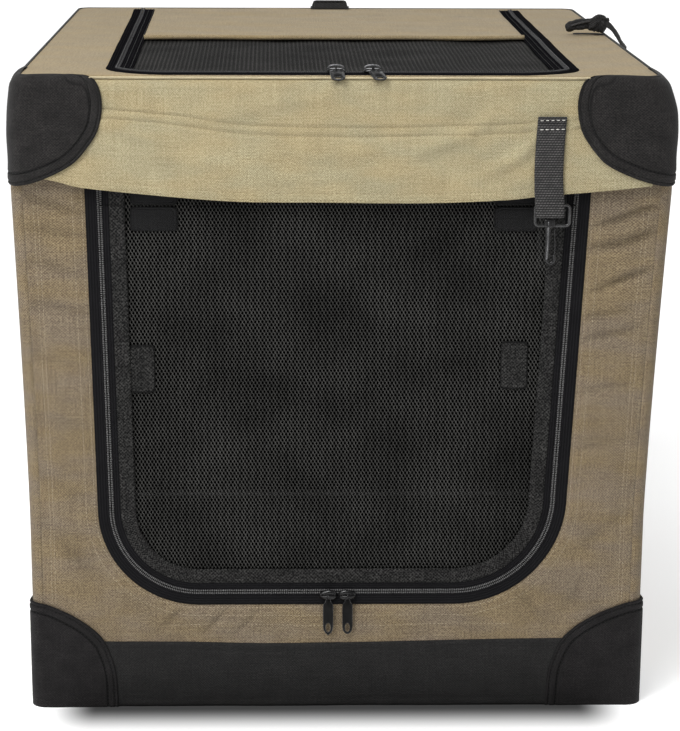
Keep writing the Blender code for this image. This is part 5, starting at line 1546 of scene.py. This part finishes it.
highlight_webbing = webbing_material("black_webbing_painted_highlight", (0.03, 0.029, 0.029), (0.11, 0.106, 0.104), 0.0016)


def strap(name, path, side_at, width, thickness, rib=0.0031, depth=0.0003, columns=15):
    """A flat strap as one closed skin: both faces of a path widened along side_at, with ribs and thin edges.

    path is (n, 3), side_at the unit direction of its width at each point. The edges are a third as thick.
    """
    path, side_at = np.asarray(path, float), np.broadcast_to(np.asarray(side_at, float), np.shape(path))
    tangent = unit(np.gradient(path, axis=0))
    out = unit(np.cross(side_at, tangent))
    s = lengths(path)
    t = np.linspace(-1, 1, columns)
    ribs = depth * (0.5 + 0.5 * np.cos(s * tau / rib))[:, None] * (1 - t ** 8)
    half = thickness / 2 * (1 - 0.65 * np.abs(t) ** 8) + ribs
    across = side_at[:, None] * (t * width / 2)[None, :, None]
    front = path[:, None] + across + out[:, None] * half[..., None]
    back = path[:, None] + across - out[:, None] * half[..., None]
    rings = np.concatenate([front, back[:, ::-1]], axis=1)
    around = np.concatenate([t * width / 2, t[::-1] * width / 2 + width])
    return capped(name, rings, paired(s[:, None], around))


# %% Hook strap
strap_high = box_of("hook_strap")[1]
ring_low, ring_high = box_of("strap_ring")
ring_low, ring_high = ring_low + [0.002, 0, 0.0022], ring_high + [-0.002, 0, 0.0078]
bar_y, bar_z, loop_r = (ring_low[1] + ring_high[1]) / 2, 0.4972, 0.0031
turn_a = np.linspace(pi, 2 * pi, 12)
strap_yz = np.vstack([
    [(FRONT + 0.0002, strap_high[2] - 0.002), (FRONT + 0.0, 0.575), (FRONT - 0.0002, 0.555),
     (FRONT - 0.0006, 0.535),
     (FRONT - 0.0013, 0.522), (bar_y - loop_r - 0.0003, 0.508)],
    paired(bar_y + loop_r * np.cos(turn_a), bar_z + loop_r * np.sin(turn_a)),
    [(bar_y + loop_r - 0.0002, 0.506), (FRONT + 0.0012, 0.513), (FRONT + 0.0012, 0.521)],
])
strap_yz = smooth_curve(strap_yz, 330)
strap_x = np.interp(strap_yz[:, 1], [0.494, 0.51, 0.52, 0.535, 0.552, 0.57, 0.592],
                    [0.1966, 0.196, 0.1952, 0.1946, 0.1949, 0.1958, 0.1972])
strap_path = np.column_stack([strap_x, strap_yz])
hook_band = strap("hook_strap_webbing", strap_path, (1, 0, 0), 0.027, 0.0013, 0.0023, 0.00024)
finish_piece(hook_band, webbing, "hook_strap", ["hook_strap"])
folded_end = np.column_stack([strap_x[:12], strap_yz[:12, 0] - 0.0016, strap_yz[:12, 1]])
end_patch = strap("hook_strap_turned_end", resample(folded_end + [0, 0, 0.0004], 30), (1, 0, 0), 0.0266, 0.001,
                  0.0018, 0.0001)
finish_piece(end_patch, webbing, "hook_strap")

# %% [markdown]
# ## Ring and snap hook
# The strap carries a flat oblong ring and a small snap hook. The hook is one moulded bar: a swivel collar, a
# stem whose ridge carries a painted highlight, and a nose that curls back, which the spring gate closes.

# %% Ring and hook
ring_half = np.array([(ring_high[0] - ring_low[0]) / 2 - 0.0021, (ring_high[2] - ring_low[2]) / 2 - 0.0017])
ring_mid = (ring_low + ring_high) / 2
ring_line = resample(closed_up(box_outline(*-ring_half, *ring_half, 0.0035, 9)), 121)[:-1]
ring_space = paired(ring_mid[0] + ring_line[:, 0], bar_y, ring_mid[2] + ring_line[:, 1])
oblong = wire("strap_ring_loop", ring_space, 0.0016, (0, 1, 0), 14, closed=True)
finish_piece(oblong, ring_plastic, "strap_ring", ["strap_ring"])

stem_x, hook_y = 0.1955, bar_y
HOOK_TOP = 0.4925


def turned_post(name, stations, centre, sides=28):
    """A moulded post down z: stations are (mm below its top, half width, half depth, shift in x)."""
    a = once_round(sides)
    blunt = (np.abs(np.cos(a)) ** 4 + np.abs(np.sin(a)) ** 4) ** -0.25
    stations = smooth_curve([(HOOK_TOP - below / 1000, wide / 1000, deep / 1000, shift / 1000)
                             for below, wide, deep, shift in stations], 60)
    rings = paired(centre[0] + stations[:, 3:4] + stations[:, 1:2] * blunt * np.cos(a),
                   centre[1] + stations[:, 2:3] * blunt * np.sin(a),
        np.broadcast_to(stations[:, :1], (60, sides)))
    return capped(name, rings, paired(stations[:, :1], np.linspace(0, 0.01, sides)))


collar = turned_post("snap_hook_collar", [
    (0, 4, 1.8, 0), (0.8, 5.2, 2.6, 0), (5, 5.4, 3, 0), (7.2, 5, 3, 0), (8.2, 3, 2.4, -0.4),
], (stem_x + 0.0012, hook_y))
finish_piece(collar, hook_plastic, "snap_hook", ["snap_hook"])
stem = turned_post("snap_hook_stem", [
    (7, 3, 2.1, 0), (12, 2.7, 2, 0), (22, 2.5, 1.9, -0.2), (33, 2.2, 1.8, -0.8), (37, 1.7, 1.5, -1),
], (stem_x, hook_y))
finish_piece(stem, hook_plastic, "snap_hook")
nose = smooth_curve([
    (-0.001, HOOK_TOP - 0.033), (-0.001, HOOK_TOP - 0.038), (0.0012, HOOK_TOP - 0.0418),
    (0.0046, HOOK_TOP - 0.0414), (0.0062, HOOK_TOP - 0.0378), (0.006, HOOK_TOP - 0.033),
], 60)
nose_line = np.column_stack([stem_x + nose[:, 0], np.full(60, hook_y), nose[:, 1]])
nose_wire = wire("snap_hook_nose", nose_line, 0.0018, (0, 1, 0), 16)
finish_piece(nose_wire, hook_plastic, "snap_hook")
ridge_z = np.linspace(HOOK_TOP - 0.0015, HOOK_TOP - 0.0385, 50)
ridge_line = np.column_stack([stem_x - 0.0002 - 0.0007 * step(0.02, 0.04, HOOK_TOP - ridge_z),
                              hook_y - 0.0022 + 0.0006 * step(0.01, 0.0385, HOOK_TOP - ridge_z), ridge_z])
# The ridge's light finish is a painted highlight.
ridge = wire("snap_hook_ridge", ridge_line, 0.00085, (0, 1, 0), 8)
finish_piece(ridge, ridge_highlight_paint, "snap_hook")
gate_low, gate_high = box_of("hook_gate")
gate_y = (gate_low[1] + gate_high[1]) / 2
gate_line = smooth_curve([(stem_x + 0.0054, gate_y, HOOK_TOP - 0.009), (stem_x + 0.006, gate_y, HOOK_TOP - 0.018),
                          (stem_x + 0.0063, gate_y, HOOK_TOP - 0.026),
                          (stem_x + 0.0058, gate_y, HOOK_TOP - 0.033)], 24)
gate = strap("hook_gate_spring", gate_line, (0, 1, 0), 0.0026, 0.0012, depth=0, columns=7)
finish_piece(gate, black_metal, "hook_gate", ["hook_gate"])

# %% [markdown]
# ## Grip and side strap
# The small grip at the rear of the roof is a short piece of webbing whose ends are sewn flat. The side strap is
# a rolled band that ends in a folded knot, and its loose tail droops over the roof's edge.

# %% Rear grip
grip_low, grip_high = box_of("rear_grip")
grip_mid, grip_half = (grip_low[0] + grip_high[0]) / 2, (grip_high[0] - grip_low[0]) / 2
grip_y = (grip_low[1] + grip_high[1]) / 2
arch_t = np.linspace(-1, 1, 160)
grip_foot = step(0.8, 0.92, np.abs(arch_t))
grip_path = np.column_stack([grip_mid + grip_half * arch_t, grip_y - 0.006 + 0.001 * grip_foot,
                             grip_low[2] + 0.0048 - 0.0032 * grip_foot])
grip_side = unit(np.column_stack([np.zeros(160), 0.38 + 0.6 * grip_foot, 0.925 - 0.8 * grip_foot]))
grip = strap("rear_grip_webbing", grip_path, grip_side, 0.0105, 0.0022, 0.0016, 0.0001)
finish_piece(grip, smooth_webbing, "rear_grip", ["rear_grip"])
middle = slice(20, -20)
grip_fold_line = np.column_stack([grip_path[middle, 0], grip_path[middle, 1] + 0.0006, grip_path[middle, 2] + 0.0042])
grip_fold = wire("rear_grip_folded_edge", grip_fold_line, 0.0014, (0, 1, 0))
finish_piece(grip_fold, smooth_webbing, "rear_grip")

# %% Side strap and its knot
side_low = box_of("side_strap")[0]


def rolled_band(name, knots, half_tall, half_thick, body, material, replaced=(), sides=22, pleats=0.0009, blunt=14):
    """A band rolled lengthwise: an oval section with three soft pleats, narrow at its ends."""
    line = smooth_curve(knots, 110)
    tangent = unit(np.gradient(line, axis=0))
    level_out = unit(np.cross(tangent, (0, 0, 1.0)))
    upright = np.cross(level_out, tangent)
    a = once_round(sides)
    t = np.linspace(0, 1, 110)
    swell = np.clip(1 - np.abs(2 * t - 1) ** blunt, 0.01,
                    1) ** 0.5 * (1 + 0.05 * np.sin(t * 19) + 0.03 * np.sin(t * 41 + 1))
    pleat = pleats * np.cos(3 * a[None, :] + 2.0 * t[:, None] * pi)
    wide, tall = half_thick * swell[:, None] + pleat, half_tall * swell[:, None] + pleat
    rings = line[:, None] + level_out[:, None] * (wide * np.cos(a))[..., None] + upright[:,
            None] * (tall * np.sin(a))[..., None]
    thing = capped(name, rings, paired(lengths(line)[:, None], a * 0.005))
    return finish_piece(thing, material, body, replaced)


band_foot = side_low[2] + 0.002
rolled_band("side_strap_band", [
    (side_low[0] - 0.006, 0.0395, band_foot + 0.0018), (side_low[0] - 0.002, 0.0402, band_foot + 0.0034),
    (0.266, 0.0405, band_foot + 0.0058),
    (0.275, 0.0405, band_foot + 0.0074), (0.284, 0.0405, band_foot + 0.0085), (0.292, 0.0395, band_foot + 0.0088),
], 0.0056, 0.003, "top_frame", smooth_webbing, ["side_strap"], pleats=0.0008, blunt=7)
# The fold line's lighter webbing is a painted highlight along the band's fold.
rolled_band("side_strap_fold_line", [
    (side_low[0] - 0.001, 0.0368, band_foot + 0.0052), (0.268, 0.0372, band_foot + 0.0082),
    (0.278, 0.0374, band_foot + 0.0102), (0.2875, 0.0372, band_foot + 0.0112),
], 0.0011, 0.001, "top_frame", highlight_webbing, pleats=0.0001)
rolled_band("side_strap_under", [
    (side_low[0] + 0.001, 0.034, side_low[2] - 0.0008), (0.27, 0.033, side_low[2] - 0.0006),
    (0.284, 0.0325, side_low[2] - 0.0006), (0.2945, 0.03, side_low[2] - 0.0012),
], 0.0009, 0.003, "top_frame", smooth_webbing, pleats=0.0001)
rolled_band("side_strap_tail", [
    (0.289, 0.0385, band_foot + 0.0085), (0.296, 0.0365, band_foot + 0.008), (0.301, 0.03, band_foot + 0.0052),
    (0.3045, 0.02, band_foot + 0.001),
    (0.3068, 0.006, band_foot - 0.0035), (0.3078, -0.008, band_foot - 0.0075),
    (0.308, -0.026, band_foot - 0.01), (0.3076, -0.048, band_foot - 0.011),
], 0.0034, 0.0012, "top_frame", smooth_webbing, pleats=0.0003, blunt=20)
adjust_low, adjust_high = box_of("strap_adjuster")
adjust = (adjust_low + adjust_high) / 2 + [0.005, 0, 0]
rolled_band("strap_adjuster_wrap", [
    (adjust[0] - 0.0056, adjust[1] - 0.003, adjust_low[2] + 0.004),
    (adjust[0] - 0.005, adjust[1] - 0.0042, adjust[2] - 0.001),
            (adjust[0] - 0.001, adjust[1] - 0.0044, adjust_high[2] - 0.0046),
    (adjust[0] + 0.0045, adjust[1] - 0.002, adjust_high[2] - 0.004),
    (adjust[0] + 0.0062, adjust[1] + 0.0028, adjust[2]),
            (adjust[0] + 0.005, adjust[1] + 0.003, adjust_low[2] + 0.0045),
], 0.0046, 0.0042, "strap_adjuster", smooth_webbing, ["strap_adjuster"])
rolled_band("strap_adjuster_block", [
    (adjust[0] - 0.006, adjust[1] - 0.002, adjust[2] - 0.001),
    (adjust[0] + 0.001, adjust[1] - 0.003, adjust[2] - 0.0004),
            (adjust[0] + 0.0095, adjust[1] - 0.003, adjust[2] - 0.001),
], 0.0072, 0.005, "strap_adjuster", smooth_webbing, pleats=0.0006, blunt=8)
rolled_band("strap_adjuster_fold", [
    (adjust[0] - 0.002, adjust[1] - 0.004, adjust[2] + 0.003),
    (adjust[0] + 0.003, adjust[1] - 0.005, adjust[2] + 0.005),
    (adjust[0] + 0.0085, adjust[1] - 0.0045, adjust[2] + 0.0052),
    (adjust[0] + 0.0125, adjust[1] - 0.004, adjust[2] + 0.0052),
], 0.0028, 0.002, "strap_adjuster", smooth_webbing)
print("strap, ring, hook, grip and side strap done")

# %% [markdown]
# ## Stitches
# Seams are rows of thread dashes, 3.8 mm apart, that sink a little into the cloth. Every dash is the same small
# closed lozenge, set along its seam by numpy: one array of places times one template gives the whole seam as one mesh.
# Each seam rides and folds with the cloth that it is sewn to.

# %% Stitch maker
STITCH = np.array([(-1, 0, 0.0), (-0.62, 0.75, 0.1), (-0.62, 0, 1.0), (-0.62, -0.75, 0.1), (0.62, 0.75, 0.1),
                   (0.62, 0, 1.0), (0.62, -0.75, 0.1), (1, 0, 0.0)])
STITCH_FACES = np.array([(0, 2, 1), (0, 3, 2), (0, 1, 3), (1, 2, 5), (1, 5, 4), (2, 3, 6), (2, 6, 5), (3, 1, 4),
                         (3, 4, 6), (4, 5, 7), (5, 6, 7), (6, 4, 7)])


def thread_finish(name, colour, shade):
    """Twisted sewing thread: two tones along the dash in object coordinates."""
    look = Look(name, 0.6, specular=0.3)
    noise = look.noise(look.node("TexCoord")["Object"], 900.0, 2.0)
    return look.finish(look.mix(look.ranged(noise, 0.35, 0.65), shade, colour))


tan_thread = thread_finish("tan_thread", (0.46, 0.39, 0.27), (0.24, 0.19, 0.125))
khaki_thread = thread_finish("khaki_thread", (0.34, 0.27, 0.15), (0.13, 0.095, 0.052))
white_thread = thread_finish("white_thread", (0.8, 0.78, 0.74), (0.5, 0.48, 0.45))
dark_thread = thread_finish("dark_thread", (0.02, 0.02, 0.02), (0.005, 0.005, 0.005))


def stitches(name, lines, pitch=0.0038, width=0.00042, rise=0.00034, fill=0.72, sink=0.0001):
    """Dashes along lines of surface points, each (points, outward normals). A dash has the length fill x pitch."""
    local = STITCH * [fill * pitch / 2, width, rise] - [0, 0, sink]
    places = []
    for points, normals in lines:
        s = lengths(points)
        count = max(2, int(s[-1] / pitch))
        at = (np.arange(count) + 0.5) * s[-1] / count
        ahead = unit(along_line(points, s, at + pitch / 4) - along_line(points, s, at - pitch / 4))
        up_there = along_line(np.broadcast_to(np.asarray(normals, float), points.shape), s, at)
        side = unit(np.cross(up_there, ahead))
        basis = np.stack([ahead, side, np.cross(ahead, side)], 1)
        places.append(along_line(points, s, at)[:, None] + local @ basis)
    points = np.concatenate(places)
    faces = (np.arange(len(points))[:, None, None] * 8 + STITCH_FACES[None]).reshape(-1, 3)
    return repair(mesh_object(name, points, faces))


def normals_of(place, u, v, *rest, size=0.0006):
    """Outward normals of a surface function by small steps: the cross product of its two slopes."""
    du = place(u + size, v, *rest) - place(u - size, v, *rest)
    dv = place(u, v + size, *rest) - place(u, v - size, *rest)
    return unit(np.cross(du, dv))


def seam_on(place, flat, depth, out):
    """A seam's points and normals on a surface function, with normals on the side that out names."""
    u, v = flat[:, 0], flat[:, 1]
    n = normals_of(place, u, v, depth)
    flip = np.where((n * np.asarray(out, float)).sum(-1) < 0, -1.0, 1.0)
    return place(u, v, depth), n * flip[:, None]


# %% Seams of the front wall, band and bottom patches
wall_seams = []
for distance in (TAPE + 0.003, TAPE + 0.011):
    run = offset_line(DOOR, distance)
    wall_seams.append(seam_on(on_front, run[run[:, 1] < hem_z(run[:, 0]) + 0.004], 0.0, outwards))
low_seam = paired(np.linspace(-0.165, 0.17, 200), 0.0855 + 0.0012 * np.sin(np.linspace(0, 9, 200)))
wall_seams.append(seam_on(on_front, low_seam, 0.0, outwards))
for side in (-1, 1):
    for inset in (0.0085, 0.012):
        upright = paired(side * (SEAM_X - inset), np.linspace(0.108, 0.53, 300))
        wall_seams.append(seam_on(on_front, upright, 0.0, outwards))
base_piece(stitches("front_wall_stitches", wall_seams), tan_thread)

dark_base = []
for name, side in SIDES:
    grid, distance = fan(low_outline(side), LOW_POLE)
    for inset in LOW_SEAMS:
        row = np.abs(distance[:, 0] - inset).argmin()
        s, z = side * (LOW_CORNER_S - grid[row, :, 0]), grid[row, :, 1]
        past_corner = np.abs(s) > SEAM_X + 0.01
        outward = paired(np.where(past_corner, side, 0.0), np.where(past_corner, 0.0, -1.0), 0.0)
        dark_base.append((on_wall(s, z, LOW_LAYER - 0.0009), outward))
band_seam = paired(band_top[:, 0], band_top[:, 1] - 0.0075)
dark_base.append(seam_on(on_front, band_seam, 0.001, outwards))
base_piece(stitches("base_dark_stitches", dark_base), dark_thread)
print("seams of the walls' front and foot:", len(wall_seams) + len(dark_base))

# %% Seams of the flap, top patches and roof
def on_flap(s, v, extra):
    """Point on the flap's own outer face."""
    return on_cover(s, v, flap_layer(s, v) + extra)


seam_xs, hem_xs = np.linspace(-0.236, 0.236, 420), np.linspace(-0.262, 0.262, 460)
flap_lines = [(seam_xs, seam_z(seam_xs) - drop) for drop in (0.0, SEAM_GAP)]
flap_lines += [(hem_xs, hem_z(hem_xs) + lift) for lift in (0.0085, 0.0022)]
flap_seams = [seam_on(on_flap, paired(x, v_at(z)), 0.0, outwards) for x, z in flap_lines]
finish_piece(stitches("front_flap_stitches", flap_seams), khaki_thread, "top_frame")

dark_top = []
for name, side in SIDES:
    grid, distance = fan(TOP_KNOTS, TOP_POLE)
    for inset in TOP_SEAMS:
        row = np.abs(distance[:, 0] - inset).argmin()
        s, v = side * (TOP_CORNER_S - grid[row, :, 0]), grid[row, :, 1]
        outward = np.column_stack([on_plan(s)[1], np.where(v < 0.012, 1.0, 0.0)])
        dark_top.append((on_cover(s, v, TOP_LAYER - 0.0008), outward))
finish_piece(stitches("top_patch_stitches", dark_top), dark_thread, "top_frame")

roof_run = offset_line(HATCH, HATCH_TAPE + 0.0025)
roof_seams = [seam_on(on_roof, roof_run[roof_run[:, 1] < HATCH_REAR - 0.002], 0.0, upwards)]
finish_piece(stitches("roof_stitches", roof_seams), tan_thread, "top_frame")
tape_seams = [seam_on(on_roof, offset_line(hatch_run, -d), 0.0013, upwards) for d in (0.0065, 0.0125)]
finish_piece(stitches("hatch_tape_stitches", tape_seams), dark_thread, "hatch")
print("seams of the roof's side:", len(flap_seams) + len(dark_top) + len(roof_seams) + len(tape_seams))

# %% White stitches over the strap's sewn end
strap_stitch = []
for z in (strap_high[2] - 0.0052, strap_high[2] - 0.0137):
    xs = np.linspace(strap_x[0] - 0.0125, strap_x[0] + 0.0125, 30)
    y_here = np.interp(z, strap_yz[:60, 1][::-1],
                       strap_yz[:60, 0][::-1]) - 0.0011 - (0.001 if z > strap_high[2] - 0.006 else 0.0)
    strap_stitch.append((paired(xs, y_here, z + 0.02 * (xs - xs[0])), outwards))
strap_stitches = stitches("hook_strap_stitches", strap_stitch, pitch=0.0048, width=0.0006, rise=0.0005)
finish_piece(strap_stitches, white_thread, "hook_strap")

# %% Seams of the side walls
for name, side in SIDES:
    here = partial(on_side, side)
    seams = [seam_on(here, offset_line(window_loop, 0.015), 0.0, (side, 0, 0))]
    for at in (0.0095, 0.013):
        upright = paired(WALL_S[-1] - 0.02 - at, np.linspace(0.02, 0.6, 300))
        seams.append(seam_on(here, upright, 0.0, (side, 0, 0)))
    base_piece(stitches(f"{name}_wall_stitches", seams), tan_thread)
print("stitches done")

# %% [markdown]
# ## Cloth declarations
# Every panel of cloth says what size it was cut to. The UV map already holds each panel's flat measures in metres,
# so its bounds are the cut's size, and the area of its UV faces is the cloth's flat area.

# %% Sheets
def flat_size(thing):
    """Width, length and area of a piece's UV map in metres."""
    mesh = thing.data
    uv = np.zeros(len(mesh.loops) * 2, np.float32)
    mesh.uv_layers["UVMap"].data.foreach_get("uv", uv)
    uv = uv.reshape(-1, 2).astype(float)
    starts = np.zeros(len(mesh.polygons), np.int32)
    mesh.polygons.foreach_get("loop_start", starts)
    totals = np.zeros(len(mesh.polygons), np.int32)
    mesh.polygons.foreach_get("loop_total", totals)
    area = 0.0
    for k in range(1, totals.max() - 1):
        use = totals > k + 1
        a, b, c = uv[starts[use]], uv[starts[use] + k], uv[starts[use] + k + 1]
        area += np.abs((b[:, 0] - a[:, 0]) * (c[:, 1] - a[:, 1]) - (b[:, 1] - a[:, 1]) * (c[:, 0] - a[:,
                0])).sum() / 2
    width, length = uv.max(0) - uv.min(0)
    return float(width), float(length), float(area)


def declare(name):
    """Print a sheet's cut size, and its flat area, which matters where the cut isn't a full rectangle."""
    thing = bpy.data.objects[name]
    width, length, area = flat_size(thing)
    print(f"{name}: cut {width * 1000:.0f} x {length * 1000:.0f} mm, area {area:.4f} m2")


for sheet_name, held, carriers in (
    ("front_wall_cloth", "stretched", ["base_tube_front", "top_tube_front"]),
    ("left_wall_cloth", "stretched", ["base_tube_left", "top_tube_left"]),
    ("right_wall_cloth", "stretched", ["base_tube_right", "top_tube_right"]),
    ("rear_wall_cloth", "stretched", ["base_tube_rear", "top_tube_rear"]),
    ("floor_cloth", "laid", ["base_tube_front", "base_tube_rear"]),
    ("roof_cloth", "stretched", ["top_tube_left", "top_tube_right"]),
    ("hatch_rear_facing_cloth", "stretched", ["roof_cloth"]),
    ("front_flap_cloth", "hung", ["roof_cloth"]),
    ("hatch_cover_flap_cloth", "laid", ["hatch_net"]),
    ("left_top_patch_cloth", "laid", ["front_flap_cloth"]), ("right_top_patch_cloth", "laid", ["front_flap_cloth"]),
    ("left_bottom_patch_cloth", "laid", ["front_wall_cloth"]),
    ("right_bottom_patch_cloth", "laid", ["front_wall_cloth"]),
    ("bottom_band_cloth", "laid", ["front_wall_cloth"]),
    ("door_net", "hung", ["front_wall_cloth"]), ("door_head_net", "hung", ["front_wall_cloth"]),
    ("hatch_net", "stretched", ["roof_cloth"]),
    ("left_window_net", "stretched", ["left_wall_cloth"]), ("right_window_net", "stretched", ["right_wall_cloth"]),
):
    declare(sheet_name)

# %% Count what was made
shown = [o for o in bpy.data.objects if o.type == "MESH" and not o.hide_render]
print("shown pieces:", len(shown), "faces before thickness:", sum(len(o.data.polygons) for o in shown))
